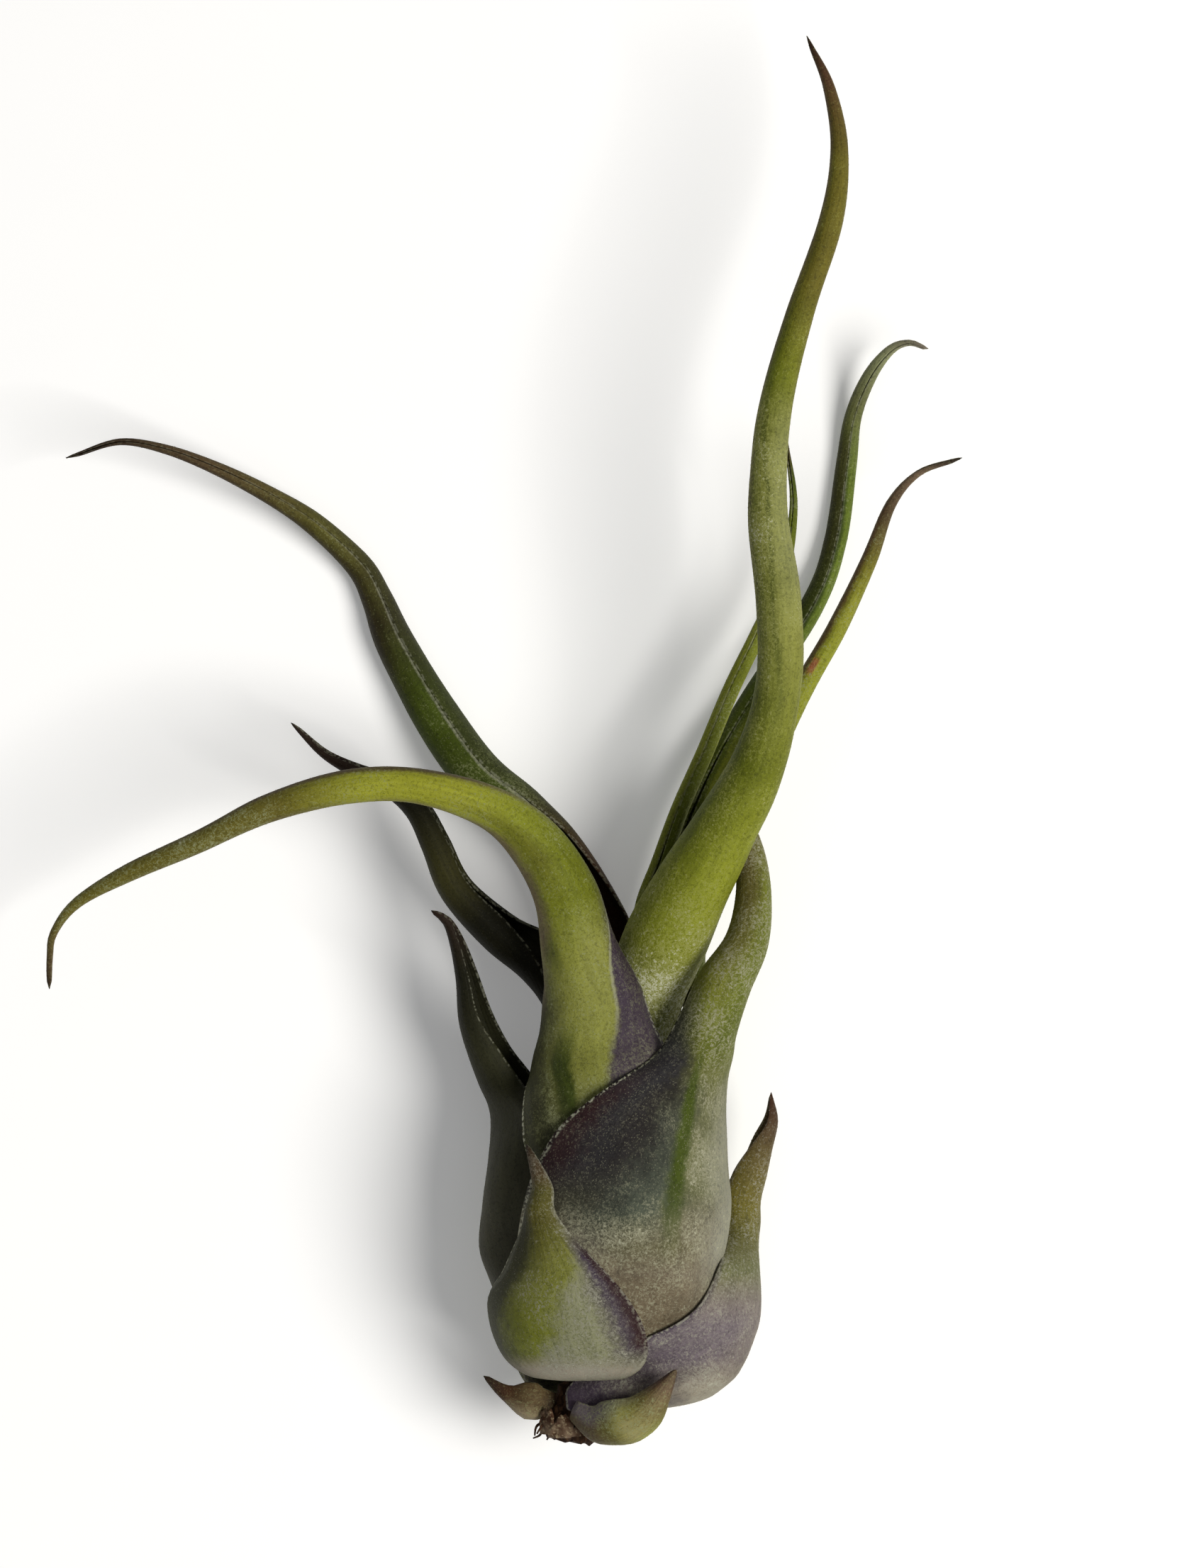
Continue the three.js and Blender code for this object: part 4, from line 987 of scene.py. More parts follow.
def grid_mesh(name, rows):
    """A sheet with a UV map, made from a flat grid whose points are moved to the rows of points."""
    count, columns = rows.shape[:2]
    bm = bmesh.new()
    bm.loops.layers.uv.new("leaf")
    bmesh.ops.create_grid(bm, x_segments=columns - 1, y_segments=count - 1, size=1, calc_uvs=True)
    for vertex in bm.verts:
        k = round((vertex.co.x + 1) / 2 * (columns - 1))
        i = round((vertex.co.y + 1) / 2 * (count - 1))
        vertex.co = Vector(rows[i, k]) * MM
    return mesh_of(bm, name)


def place_object(name, data):
    """Puts a mesh, light or camera in the scene."""
    made = bpy.data.objects.new(name, data)
    bpy.context.scene.collection.objects.link(made)
    return made


def add_piece(mesh, material):
    """Puts a mesh in the scene as a piece that moves with the plant."""
    for face in mesh.polygons:
        face.use_smooth = True
    mesh.materials.append(material)
    piece = place_object(mesh.name, mesh)
    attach(piece, "root")
    return piece


def thicken(piece, thickness, offset):
    """Gives a sheet a wall."""
    wall = piece.modifiers.new("Wall", "SOLIDIFY")
    wall.thickness = thickness
    wall.offset = offset
    return wall


def feed(tree, node, inputs):
    """Puts values or other nodes' sockets on a node's inputs."""
    for key, value in dict(inputs).items():
        if isinstance(value, bpy.types.NodeSocket):
            tree.links.new(value, node.inputs[key])
        else:
            node.inputs[key].default_value = value


def put(tree, kind, inputs=(), **settings):
    """Adds a node with its settings and inputs."""
    made = tree.nodes.new(kind)
    for key, value in settings.items():
        setattr(made, key, value)
    feed(tree, made, inputs)
    return made


def math_of(tree, operation, *values, clamp=False):
    """The result of one operation on numbers or sockets."""
    return put(tree, "ShaderNodeMath", enumerate(values), operation=operation, use_clamp=clamp).outputs[0]


def ramp_between(tree, value, low, high, to_low=0.0, to_high=1.0):
    """A smooth step of a value from one number to another."""
    inputs = {0: value, 1: low, 2: high, 3: to_low, 4: to_high}
    return put(tree, "ShaderNodeMapRange", inputs, interpolation_type="SMOOTHSTEP").outputs[0]


def mix_colours(tree, share, first, second, blend="MIX"):
    """A share of the second colour over the first."""
    inputs = {0: share, 6: first, 7: second}
    return put(tree, "ShaderNodeMix", inputs, data_type="RGBA", blend_type=blend).outputs[2]


def noise_of(tree, vector, scale, detail, **more):
    """An uneven value from 0 to 1."""
    inputs = {"Vector": vector, "Scale": scale, "Detail": detail, **more}
    return put(tree, "ShaderNodeTexNoise", inputs).outputs[0]


def grey_of(tree, value):
    """A value as a colour."""
    return put(tree, "ShaderNodeCombineColor", {0: value, 1: value, 2: value}).outputs[0]


def relief_of(tree, strength, distance, height):
    """Normals that show a height in the light."""
    inputs = {"Strength": strength, "Distance": distance, "Height": height}
    return put(tree, "ShaderNodeBump", inputs).outputs[0]


def place_of(tree):
    """Object coordinates."""
    return put(tree, "ShaderNodeTexCoord").outputs["Object"]


def new_material(name):
    """A material with its node tree and its shader."""
    material = bpy.data.materials.new(name)
    material.use_nodes = True
    return material, material.node_tree, material.node_tree.nodes["Principled BSDF"]


def new_group(name, inputs, outputs):
    """A new shader node group, its given values and its end. An input is (name, kind, default)."""
    group = bpy.data.node_groups.new(name, "ShaderNodeTree")
    for label, kind, default in inputs:
        socket = group.interface.new_socket(name=label, in_out="INPUT", socket_type=kind)
        if default is not None:
            socket.default_value = default
    for label, kind in outputs:
        group.interface.new_socket(name=label, in_out="OUTPUT", socket_type=kind)
    start = group.nodes.new("NodeGroupInput")
    end = group.nodes.new("NodeGroupOutput")
    return group, start.outputs, end


FLOAT = "NodeSocketFloat"
COLOUR = "NodeSocketColor"
VECTOR = "NodeSocketVector"


def grain_group():
    """The unevenness of a leaf's colour: ragged edges, light and dark streaks, patches and beads."""
    group, given, end = new_group(
        "Leaf grain",
        [("Vector", VECTOR, None), ("Across", FLOAT, 0.0), ("Along", FLOAT, 0.0), ("Seed", FLOAT, 0.0)],
        [("Ragged", FLOAT), ("Shade", COLOUR), ("Streaks", FLOAT), ("Patches", FLOAT), ("Beads", FLOAT)],
    )
    blotch = noise_of(group, given["Vector"], 160.0, 3.0)
    fine = noise_of(group, given["Vector"], 1100.0, 3.0)
    beads = noise_of(group, given["Vector"], 1900.0, 1.0)
    across = math_of(group, "MULTIPLY", given["Across"], 14.0)
    along = math_of(group, "MULTIPLY", given["Along"], 0.12)
    drawn_out = put(group, "ShaderNodeCombineXYZ", {0: across, 1: along, 2: given["Seed"]}).outputs[0]
    streaks = noise_of(group, drawn_out, 1.0, 3.0)
    wobble = math_of(group, "MULTIPLY_ADD", blotch, 0.3, -0.15)
    tone = math_of(group, "MULTIPLY_ADD", streaks, 0.7, 0.65)
    mottle = math_of(group, "MULTIPLY_ADD", blotch, 0.6, 0.7)
    outputs = {
        "Ragged": math_of(group, "ADD", wobble, math_of(group, "MULTIPLY_ADD", fine, 0.24, -0.12)),
        "Shade": grey_of(group, math_of(group, "MULTIPLY", tone, mottle)),
        "Streaks": streaks,
        "Patches": blotch,
        "Beads": ramp_between(group, beads, 0.42, 0.58),
    }
    feed(group, end, outputs)


def band_group():
    """A strip of another colour that runs along a leaf. The softer its edges, the more ragged."""
    group, given, end = new_group(
        "Leaf band",
        [
            ("Color", COLOUR, (0.2, 0.2, 0.05, 1)),
            ("Across", FLOAT, 0.0),
            ("Ragged", FLOAT, 0.0),
            ("Middle", FLOAT, 0.0),
            ("Half width", FLOAT, 0.2),
            ("Softness", FLOAT, 0.1),
            ("Band color", COLOUR, (0.1, 0.05, 0.08, 1)),
            ("Amount", FLOAT, 1.0),
        ],
        [("Color", COLOUR)],
    )
    loose = math_of(group, "MULTIPLY", given["Softness"], 6.0, clamp=True)
    place = math_of(group, "MULTIPLY_ADD", given["Ragged"], loose, given["Across"])
    from_middle = math_of(group, "ABSOLUTE", math_of(group, "SUBTRACT", place, given["Middle"]))
    outer = math_of(group, "ADD", given["Half width"], given["Softness"])
    inner = math_of(group, "SUBTRACT", given["Half width"], given["Softness"])
    inside = math_of(group, "MULTIPLY", ramp_between(group, from_middle, outer, inner), given["Amount"])
    feed(group, end, {"Color": mix_colours(group, inside, given["Color"], given["Band color"])})


def felt_group():
    """The grey down of a leaf, in clumps with bare skin between them that carries painted shade, and its pale
    beaded rim.
    """
    group, given, end = new_group(
        "Leaf felt",
        [
            ("Vector", VECTOR, None),
            ("Color", COLOUR, (0.2, 0.2, 0.05, 1)),
            ("Across", FLOAT, 0.0),
            ("Streaks", FLOAT, 0.5),
            ("Patches", FLOAT, 0.5),
            ("Beads", FLOAT, 0.5),
            ("Felt", FLOAT, 0.3),
            ("Felt color", COLOUR, (0.3, 0.3, 0.2, 1)),
            ("Rim", FLOAT, 0.1),
            ("Rim color", COLOUR, (0.6, 0.6, 0.55, 1)),
        ],
        [("Color", COLOUR), ("Roughness", FLOAT), ("Height", FLOAT)],
    )
    clumps = noise_of(group, given["Vector"], 2500.0, 3.0, Roughness=0.7, Distortion=0.9)
    patches = math_of(group, "MULTIPLY_ADD", given["Patches"], 1.0, -0.5)
    cover = math_of(group, "ADD", given["Felt"], patches)
    start = math_of(group, "MULTIPLY_ADD", cover, -0.36, 0.62)
    felt = ramp_between(group, clumps, start, math_of(group, "ADD", start, 0.1))
    # Very dark skin shows through its felt
    skin = put(group, "ShaderNodeSeparateColor", {0: given["Color"]})
    worn = ramp_between(group, skin.outputs[1], 0.015, 0.13, 0.22, 1.0)
    haze = math_of(group, "MULTIPLY_ADD", felt, 0.68, math_of(group, "MULTIPLY", cover, 0.15), clamp=True)
    # Painted shade: the bare skin is darkened between the clumps and lightened a little on them, as if the
    # felt shaded it
    painted_clump_shade = grey_of(group, ramp_between(group, clumps, 0.32, 0.52, 0.62, 1.04))
    bare = mix_colours(group, 1.0, given["Color"], painted_clump_shade, "MULTIPLY")
    colour = mix_colours(group, math_of(group, "MULTIPLY", haze, worn), bare, given["Felt color"])
    # Single pale threads stand out on the thickest clumps
    first, last = (math_of(group, "ADD", start, more) for more in (0.13, 0.24))
    threads = math_of(group, "MULTIPLY", ramp_between(group, clumps, first, last), worn)
    tuft = math_of(group, "MULTIPLY_ADD", given["Felt"], 0.9, 0.12, clamp=True)
    colour = mix_colours(group, math_of(group, "MULTIPLY", threads, tuft), colour, given["Rim color"])
    edge = ramp_between(group, math_of(group, "ABSOLUTE", given["Across"]), 0.955, 0.98)
    rim = math_of(group, "MULTIPLY", math_of(group, "MULTIPLY", edge, given["Beads"]), given["Rim"])
    streaks = math_of(group, "MULTIPLY", given["Streaks"], 0.8)
    outputs = {
        "Color": mix_colours(group, rim, colour, given["Rim color"]),
        "Roughness": math_of(group, "MULTIPLY_ADD", felt, 0.2, 0.6),
        "Height": math_of(group, "MULTIPLY_ADD", clumps, 0.8, streaks),
    }
    feed(group, end, outputs)


def ramp_along(tree, along, stops, length):
    """A colour ramp along the leaf, from stops in millimetres with a colour each."""
    made = put(tree, "ShaderNodeValToRGB", {0: along})
    ramp = made.color_ramp
    while len(ramp.elements) < len(stops):
        ramp.elements.new(1.0)
    for element, (at, colour) in zip(ramp.elements, stops):
        element.position = min(at / length, 1)
        element.color = colour
    return made.outputs[0]


def amount_stops(tree, along, stops, length):
    """An amount that changes along the leaf, with its stops in millimetres."""
    return ramp_along(tree, along, [(at, (value, value, value, 1)) for at, value in stops], length)


def place_stops(tree, along, stops, length):
    """A place across the leaf, from -2 to 2, that moves along it."""
    share = amount_stops(tree, along, [(at, (value + 2) / 4) for at, value in stops], length)
    return math_of(tree, "MULTIPLY_ADD", share, 4.0, -2.0)


def put_group(tree, name, inputs):
    """Adds a node group, and gives its outputs."""
    return put(tree, "ShaderNodeGroup", inputs, node_tree=bpy.data.node_groups[name]).outputs


BARE = (0, 0, 0, 1)  # what a bare strip lays over the felt


def ink(name):
    """A palette colour with its alpha."""
    return (*PALETTE[name], 1)


def leaf_material(name, length, seed, pale=0.0):
    """The velvety skin of one leaf, coloured along and across it, or that of its paler scales."""
    finish = {**PLAIN_FINISH, **FINISHES[name]}
    material, tree, shader = new_material(name + ("_scale" if pale else "_skin"))
    vector = place_of(tree)
    leaf_map = put(tree, "ShaderNodeUVMap", uv_map="leaf").outputs[0]
    sides = put(tree, "ShaderNodeSeparateXYZ", {0: leaf_map}).outputs
    across = math_of(tree, "MULTIPLY_ADD", sides[0], 2.0, -1.0)
    along = sides[1]
    distance = math_of(tree, "MULTIPLY", along, length)
    given = {"Vector": vector, "Across": across, "Along": distance, "Seed": float(seed)}
    grain = put_group(tree, "Leaf grain", given)

    def lay(under, middle, half_width, softness, colour, amounts):
        moves = isinstance(middle, tuple)
        inputs = {
            "Color": under,
            "Across": across,
            "Ragged": grain["Ragged"],
            "Middle": place_stops(tree, along, middle, length) if moves else middle,
            "Half width": half_width,
            "Softness": softness,
            "Band color": colour,
            "Amount": amount_stops(tree, along, amounts, length),
        }
        return put_group(tree, "Leaf band", inputs)["Color"]

    ground = ramp_along(tree, along, [(at, ink(colour)) for at, colour in finish["ground"]], length)
    for middle, half_width, softness, colour, amounts in finish["bands"]:
        ground = lay(ground, middle, half_width, softness, ink(colour), amounts)
    felt = amount_stops(tree, along, finish["felt"], length)
    for middle, half_width, softness, amounts in finish["bare"]:
        felt = lay(felt, middle, half_width, softness, BARE, amounts)
    inputs = {
        "Vector": vector,
        "Color": mix_colours(tree, 1.0, ground, grain["Shade"], "MULTIPLY"),
        "Across": across,
        "Streaks": grain["Streaks"],
        "Patches": grain["Patches"],
        "Beads": grain["Beads"],
        "Felt": felt,
        "Felt color": ink(finish["felt_colour"]),
        "Rim": amount_stops(tree, along, finish["rim"], length),
        "Rim color": ink("frost"),
    }
    skin = put_group(tree, "Leaf felt", inputs)
    if pale:
        tone = mix_colours(tree, pale, skin["Color"], ink(finish["felt_colour"]))
        feed(tree, shader, {"Base Color": tone})
    else:
        relief = relief_of(tree, 0.8, 0.00016, skin["Height"])
        feed(tree, shader, {"Base Color": skin["Color"], "Normal": relief})
    surface = {
        "Roughness": skin["Roughness"],
        "Specular IOR Level": 0.12,
        "Sheen Weight": finish["sheen"],
        "Sheen Roughness": 0.25,
        "Sheen Tint": ink("felt"),
    }
    feed(tree, shader, surface)
    return material


def leaf_length(rows):
    """Length along the middle column of a leaf, in millimetres."""
    return float(distances(rows[:, rows.shape[1] // 2])[-1])


def add_leaf(name, seed):
    """One leaf: a fine sheet on the solid leaf's outer face, with a wall that thins to its margins."""
    settings = bpy.context.scene.airplant_leaf
    rows, tube = grown_surface(name, seed)
    mesh = grid_mesh(name + "_grown", rows)
    piece = add_piece(mesh, leaf_material(name, leaf_length(rows), seed))
    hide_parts(name)
    wall = piece.vertex_groups.new(name="wall")
    share = settings.margin_thickness / settings.thickness
    uv = mesh.uv_layers["leaf"].data
    for loop in mesh.loops:
        across, along = uv[loop.index].uv
        weight = 1 + (share - 1) * abs(2 * across - 1) ** WALL_POWER
        room = TUBE_FILL * tube[round(along * (len(rows) - 1))] * MM / settings.thickness
        wall.add([loop.vertex_index], min(weight, room), "REPLACE")
    thicken(piece, settings.thickness, -1).vertex_group = "wall"


def hidden_share(name, rows):
    """How far the older sheaths cover each point of a leaf, from 0 to 1."""
    cover = np.zeros(rows.shape[:2])
    if "sheath" not in LEAVES[name]:
        return cover
    for i, row in enumerate(rows):
        y = float(row[:, 1].mean())
        aside, up = row[:, 0] - value_at(BULB, y, 1), row[:, 2] - AXIS_Z
        near = np.hypot(aside, up) < value_at(BULB, y, 2)
        for other in older_leaves(name):
            cover[i] = np.maximum(cover[i], cover_of(other, y, np.degrees(np.arctan2(aside, up))) * near)
    return cover


def amount_at(stops, distance):
    """An amount between the stops of a finish, at distances along the leaf."""
    return np.interp(distance, [at for at, _ in stops], [value for _, value in stops])


def scatter_on(rows, share, per_square_mm, draw):
    """Random places on a grid: (place, normal, direction along the leaf, place on the UV map)."""
    along = rows[1:, :-1] - rows[:-1, :-1]
    across = rows[:-1, 1:] - rows[:-1, :-1]
    area = np.linalg.norm(np.cross(across, along), axis=2)
    wanted = (area * share[:-1, :-1] * per_square_mm).ravel()
    counts = draw.poisson(wanted)
    cells = np.repeat(np.arange(counts.size), counts)
    i, k = np.divmod(cells, rows.shape[1] - 1)
    s = draw.random((2, len(cells), 1))
    low = rows[i, k] * (1 - s[0]) + rows[i, k + 1] * s[0]
    high = rows[i + 1, k] * (1 - s[0]) + rows[i + 1, k + 1] * s[0]
    places = low * (1 - s[1]) + high * s[1]
    normals = surface_normals(rows)[i, k]
    upward = (high - low) / np.maximum(np.linalg.norm(high - low, axis=1, keepdims=True), 1e-9)
    u = (k + s[0][:, 0]) / (rows.shape[1] - 1)
    v = (i + s[1][:, 0]) / (len(rows) - 1)
    return places, normals, upward, np.stack([u, v], axis=1)


def add_scales(name, seed):
    """The tiny pale scales that stand on one leaf, each a low peak of four faces."""
    settings = bpy.context.scene.airplant_scale
    felt = {**PLAIN_FINISH, **FINISHES[name]}["felt"]
    rows, tube = grown_surface(name, seed)
    share = BARE_SCALES + amount_at(felt, distances(rows[:, rows.shape[1] // 2]))
    share = share[:, None] * (hidden_share(name, rows) < 0.5)
    draw = np.random.default_rng(seed)
    places, normals, along, spots = scatter_on(rows, share, settings.per_square_mm, draw)
    turn = draw.normal(0, SCALE_TURN, (len(places), 1))
    forward = along * np.cos(turn) + np.cross(along, normals) * np.sin(turn)
    aside = np.cross(forward, normals)
    size = draw.uniform(*SCALE_SIZES, (len(places), 1)) * settings.length / MM
    reach = forward * size / 2
    width = aside * size / 4
    sunk = places - normals * SCALE_SINK
    corners = np.stack([sunk - reach, sunk + width, sunk + reach, sunk - width], axis=1) * MM

    bm = bmesh.new()
    leaf_map = bm.loops.layers.uv.new("leaf")
    bmesh.ops.create_grid(bm, x_segments=len(places), y_segments=1, size=1)
    bmesh.ops.split_edges(bm, edges=bm.edges)
    for face, around, spot in zip(bm.faces, corners, spots):
        for loop, corner in zip(face.loops, around):
            loop.vert.co = corner
            loop[leaf_map].uv = spot
    bm.normal_update()
    bmesh.ops.poke(bm, faces=bm.faces, offset=settings.height + SCALE_SINK * MM, center_mode="MEAN")
    material = leaf_material(name, leaf_length(rows), seed, settings.paleness)
    add_piece(mesh_of(bm, name + "_scales"), material)


def sweep(bm, route, radii, sides):
    """A closed tube along a route in millimetres, made by extruding one ring of points."""
    made = bmesh.ops.create_circle(bm, cap_ends=True, radius=1.0, segments=sides)
    verts = made["verts"]
    edges = [e for e in bm.edges if e.verts[0] in verts and e.verts[1] in verts]
    tangents = route_tangents(route)
    turn = Vector((0, 0, 1)).rotation_difference(tangents[0])
    place = Matrix.LocRotScale(route[0] * MM, turn, Vector((radii[0] * MM,) * 3))
    bmesh.ops.transform(bm, matrix=place, verts=verts)
    everything = list(verts)
    for point, radius, before, tangent in zip(route[1:], radii[1:], tangents, tangents[1:]):
        grown = bmesh.ops.extrude_edge_only(bm, edges=edges)["geom"]
        verts = [g for g in grown if isinstance(g, bmesh.types.BMVert)]
        edges = [g for g in grown if isinstance(g, bmesh.types.BMEdge)]
        turn = before.rotation_difference(tangent) @ turn
        next_place = Matrix.LocRotScale(point * MM, turn, Vector((radius * MM,) * 3))
        bmesh.ops.transform(bm, matrix=next_place @ place.inverted(), verts=verts)
        place = next_place
        everything += verts
    bmesh.ops.edgeloop_fill(bm, edges=edges)
    return everything


def stem_axis(y):
    """The middle of the stem at a height."""
    return Vector((value_at(BULB, y, 1), y, AXIS_Z))


def add_stem():
    """The short woody stem with its dry roots."""
    bm = bmesh.new()
    heights = np.linspace(STEM[0][0], STEM[-1][0], STEM_RINGS)
    radii = [value_at(STEM, y, 1) for y in heights]
    bark = sweep(bm, [stem_axis(y) for y in heights], radii, STEM_SIDES)
    bm.normal_update()
    for vertex in bark:
        at = vertex.co / MM
        ring = math.sin(at.y * 4.2 + 1.5 * noise.noise(at * 0.6))
        lump = 0.22 * ring + 0.5 * noise.noise(at * 0.8) + 0.3 * noise.noise(at * Vector((2.6, 0.9, 2.6)))
        vertex.co += vertex.normal * lump * MM * smooth(-at.y, 8, 16)
    draw = random.Random(4)
    for angle, y, length in ROOTS:
        for _ in range(ROOT_STRANDS):
            add_root(bm, angle + draw.uniform(-25, 25), y + draw.uniform(-0.9, 1.1), length, draw)
    bmesh.ops.recalc_face_normals(bm, faces=bm.faces)
    piece = add_piece(mesh_of(bm, "stem_with_roots_grown"), bark_material())
    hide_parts("stem_with_roots")


def add_scraps():
    """Dry brown remains of the oldest sheaths, each a thin torn sheet that clings to the stem."""
    bm = bmesh.new()
    for angle, y, length, width, lean in SCRAPS:
        grown = bmesh.ops.create_grid(bm, x_segments=SCRAP_COLUMNS - 1, y_segments=SCRAP_ROWS - 1, size=1)
        for vertex in grown["verts"]:
            across, along = vertex.co.x, (vertex.co.y + 1) / 2
            torn = 1 + 0.35 * noise.noise(Vector((across * 2.3, angle, 0)))
            height = y + length * along * torn
            turn = math.radians(angle + across * width * (1 - 0.55 * along))
            out = Vector((math.sin(turn), 0, math.cos(turn)))
            stand = 0.25 + lean * along**1.6 + 0.3 * noise.noise(Vector((across * 2, along * 3, angle)))
            vertex.co = (stem_axis(height) + out * (value_at(STEM, height, 1) + stand)) * MM
    bmesh.ops.recalc_face_normals(bm, faces=bm.faces)
    piece = add_piece(mesh_of(bm, "stem_scraps"), scrap_material())
    thicken(piece, SCRAP_THICKNESS * MM, 0)


def scrap_material():
    """Papery dry sheath, from straw to dark brown."""
    material, tree, shader = new_material("dry_sheath")
    place = place_of(tree)
    stains = noise_of(tree, place, 380.0, 4.0)
    fibres = noise_of(tree, place, 2200.0, 3.0)
    tone = mix_colours(tree, ramp_between(tree, stains, 0.38, 0.62), ink("rust"), ink("taupe"))
    tone = mix_colours(tree, ramp_between(tree, fibres, 0.5, 0.75), tone, ink("straw"))
    relief = relief_of(tree, 0.6, 0.0002, fibres)
    surface = {"Base Color": tone, "Normal": relief, "Roughness": 0.85, "Specular IOR Level": 0.15}
    feed(tree, shader, surface)
    return material


def add_root(bm, angle, y, length, draw):
    """One thin wiry root that bends down and kinks on its way."""
    out = Vector((math.sin(math.radians(angle)), 0, math.cos(math.radians(angle))))
    start = stem_axis(y) + out * (value_at(STEM, y, 1) - 1.2)
    reach = length * draw.uniform(0.6, 1.05)
    kink = Vector((draw.uniform(-1, 1), draw.uniform(-1, 1), draw.uniform(-1, 1)))
    thick = draw.uniform(0.16, 0.34)
    route, radii = [], []
    for i in range(ROOT_STEPS + 1):
        share = i / ROOT_STEPS
        bend = Vector((0, -0.5 * reach * share * share, 0))
        point = start + out * reach * share * (1 - 0.25 * share) + bend
        route.append(point + kink * 0.35 * math.sin(share * 7) * share)
        radii.append(thick * (1 - 0.6 * share**2))
    sweep(bm, route, radii, ROOT_SIDES)


def bark_material():
    """Dark dry bark with torn fibres."""
    material, tree, shader = new_material("bark")
    place = place_of(tree)
    stretched = put(tree, "ShaderNodeMapping", {"Vector": place, "Scale": (1.0, 0.25, 1.0)}).outputs[0]
    fibres = noise_of(tree, stretched, 1800.0, 5.0)
    patches = noise_of(tree, place, 420.0, 3.0)
    tone = mix_colours(tree, ramp_between(tree, fibres, 0.4, 0.75), ink("dark_brown"), ink("brown"))
    tone = mix_colours(tree, ramp_between(tree, patches, 0.6, 0.72), tone, ink("umber"))
    relief = relief_of(tree, 0.9, 0.0003, fibres)
    feed(tree, shader, {"Base Color": tone, "Normal": relief, "Roughness": 0.9, "Specular IOR Level": 0.1})
    return material


def add_area_light(name, place, target, size, power, colour):
    """A soft round light that shines on a target."""
    light = bpy.data.lights.new(name, "AREA")
    light.shape = "DISK"
    light.size = size
    light.energy = power
    light.color = colour
    lamp = place_object(name, light)
    lamp.location = place
    direction = Vector(target) - lamp.location
    lamp.rotation_euler = direction.to_track_quat("-Z", "Y").to_euler()


def floor_material(colour):
    """A plain pale floor, a little cloudy."""
    material, tree, shader = new_material("pale_floor")
    clouds = noise_of(tree, place_of(tree), 40.0, 2.0)
    dim = [value * 0.98 for value in colour]
    surface = {
        "Base Color": mix_colours(tree, clouds, (*colour, 1), (*dim, 1)),
        "Roughness": 0.9,
        "Specular IOR Level": 0.1,
        "Emission Color": (1.0, 1.0, 1.0, 1.0),
        "Emission Strength": 0.18,
    }
    feed(tree, shader, surface)
    return material


class AIRPLANT_OT_add_leaves(bpy.types.Operator):
    """Grow the fourteen leaves, each a closed shell on its solid leaf"""

    bl_idname = "airplant.add_leaves"
    bl_label = "Add leaves"

    def execute(self, context):
        grain_group()
        band_group()
        felt_group()
        for seed, name in enumerate(LEAVES):
            add_leaf(name, seed)
        return {"FINISHED"}


class AIRPLANT_OT_add_scales(bpy.types.Operator):
    """Cover the open faces of the leaves with their tiny pale scales"""

    bl_idname = "airplant.add_scales"
    bl_label = "Add scales"

    def execute(self, context):
        for seed, name in enumerate(LEAVES):
            add_scales(name, seed)
        return {"FINISHED"}


class AIRPLANT_OT_add_stem(bpy.types.Operator):
    """Add the woody stem with its dry roots and scraps"""

    bl_idname = "airplant.add_stem"
    bl_label = "Add stem"

    def execute(self, context):
        add_stem()
        add_scraps()
        return {"FINISHED"}


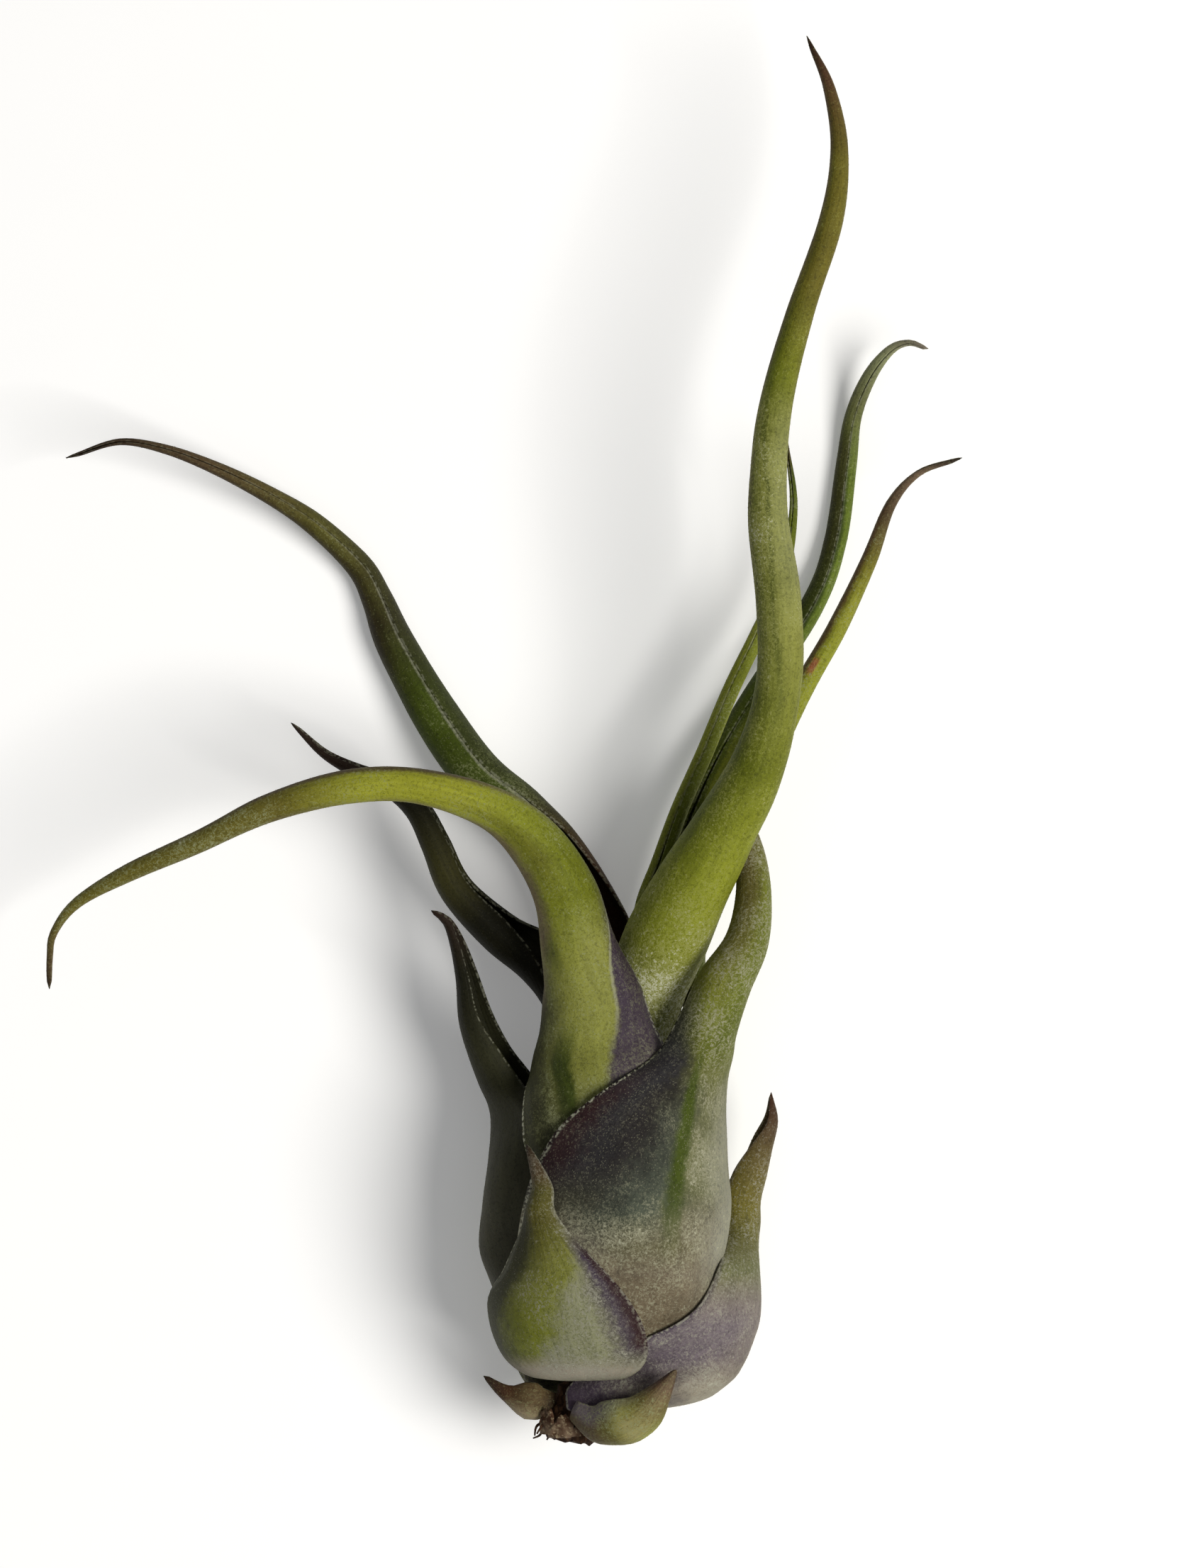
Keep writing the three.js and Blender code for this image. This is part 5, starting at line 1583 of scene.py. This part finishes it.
class AIRPLANT_OT_add_stage(bpy.types.Operator):
    """Add the pale floor, the soft lights and the camera that looks straight down"""

    bl_idname = "airplant.add_stage"
    bl_label = "Add stage"

    def execute(self, context):
        settings = context.scene.airplant_stage
        bm = bmesh.new()
        bmesh.ops.create_grid(bm, x_segments=1, y_segments=1, size=FLOOR_SIZE)
        bmesh.ops.translate(bm, verts=bm.verts, vec=(0, 0, -FLOOR_DROP * MM))
        mesh = mesh_of(bm, "floor")
        mesh.materials.append(floor_material(settings.floor_colour))
        floor = place_object("floor", mesh)

        middle = Vector(PLANT_MIDDLE) * MM
        add_area_light("key", (1.0, -0.2, 1.55), middle, 1.0, settings.key_power, (1.0, 0.98, 0.94))
        add_area_light("fill", (-0.1, 0.1, 1.2), middle, 1.2, settings.fill_power, (0.94, 0.97, 1.0))

        world = bpy.data.worlds.new("studio_air")
        world.use_nodes = True
        air = {"Color": (1, 1, 1, 1), "Strength": settings.air_strength}
        feed(world.node_tree, world.node_tree.nodes["Background"], air)
        context.scene.world = world

        lens = bpy.data.cameras.new("camera")
        lens.sensor_fit = "VERTICAL"
        lens.sensor_height = 36.0
        lens.lens = lens.sensor_height * settings.camera_distance / settings.view_height
        lens.clip_start = 0.05
        camera = place_object("camera", lens)
        camera.location = middle + Vector((0, 0, settings.camera_distance))
        context.scene.camera = camera
        context.scene.view_settings.view_transform = "Standard"
        return {"FINISHED"}


class AIRPLANT_PT_builder(bpy.types.Panel):
    """The settings and the steps of the build, in the 3D view's sidebar"""

    bl_label = "Air plant"
    bl_idname = "AIRPLANT_PT_builder"
    bl_space_type = "VIEW_3D"
    bl_region_type = "UI"
    bl_category = "Air plant"

    def draw(self, context):
        for group, steps in BUILD_STEPS:
            box = self.layout.box()
            settings = getattr(context.scene, group)
            for key in settings.bl_rna.properties.keys():
                if key not in {"rna_type", "name"}:
                    box.prop(settings, key)
            for step in steps:
                box.operator(step)


BUILD_STEPS = (
    ("airplant_leaf", ("airplant.add_leaves", "airplant.add_stem")),
    ("airplant_scale", ("airplant.add_scales",)),
    ("airplant_stage", ("airplant.add_stage",)),
)
SETTINGS = {
    "airplant_leaf": LeafSettings,
    "airplant_scale": ScaleSettings,
    "airplant_stage": StageSettings,
}
CLASSES = (
    LeafSettings,
    ScaleSettings,
    StageSettings,
    AIRPLANT_OT_add_leaves,
    AIRPLANT_OT_add_scales,
    AIRPLANT_OT_add_stem,
    AIRPLANT_OT_add_stage,
    AIRPLANT_PT_builder,
)


def register():
    for kind in CLASSES:
        bpy.utils.register_class(kind)
    for key, kind in SETTINGS.items():
        setattr(bpy.types.Scene, key, bpy.props.PointerProperty(type=kind))


def unregister():
    for key in SETTINGS:
        delattr(bpy.types.Scene, key)
    for kind in reversed(CLASSES):
        bpy.utils.unregister_class(kind)


def main():
    register()
    bpy.ops.airplant.add_leaves()
    bpy.ops.airplant.add_scales()
    bpy.ops.airplant.add_stem()
    bpy.ops.airplant.add_stage()


if __name__ == "__main__":
    main()
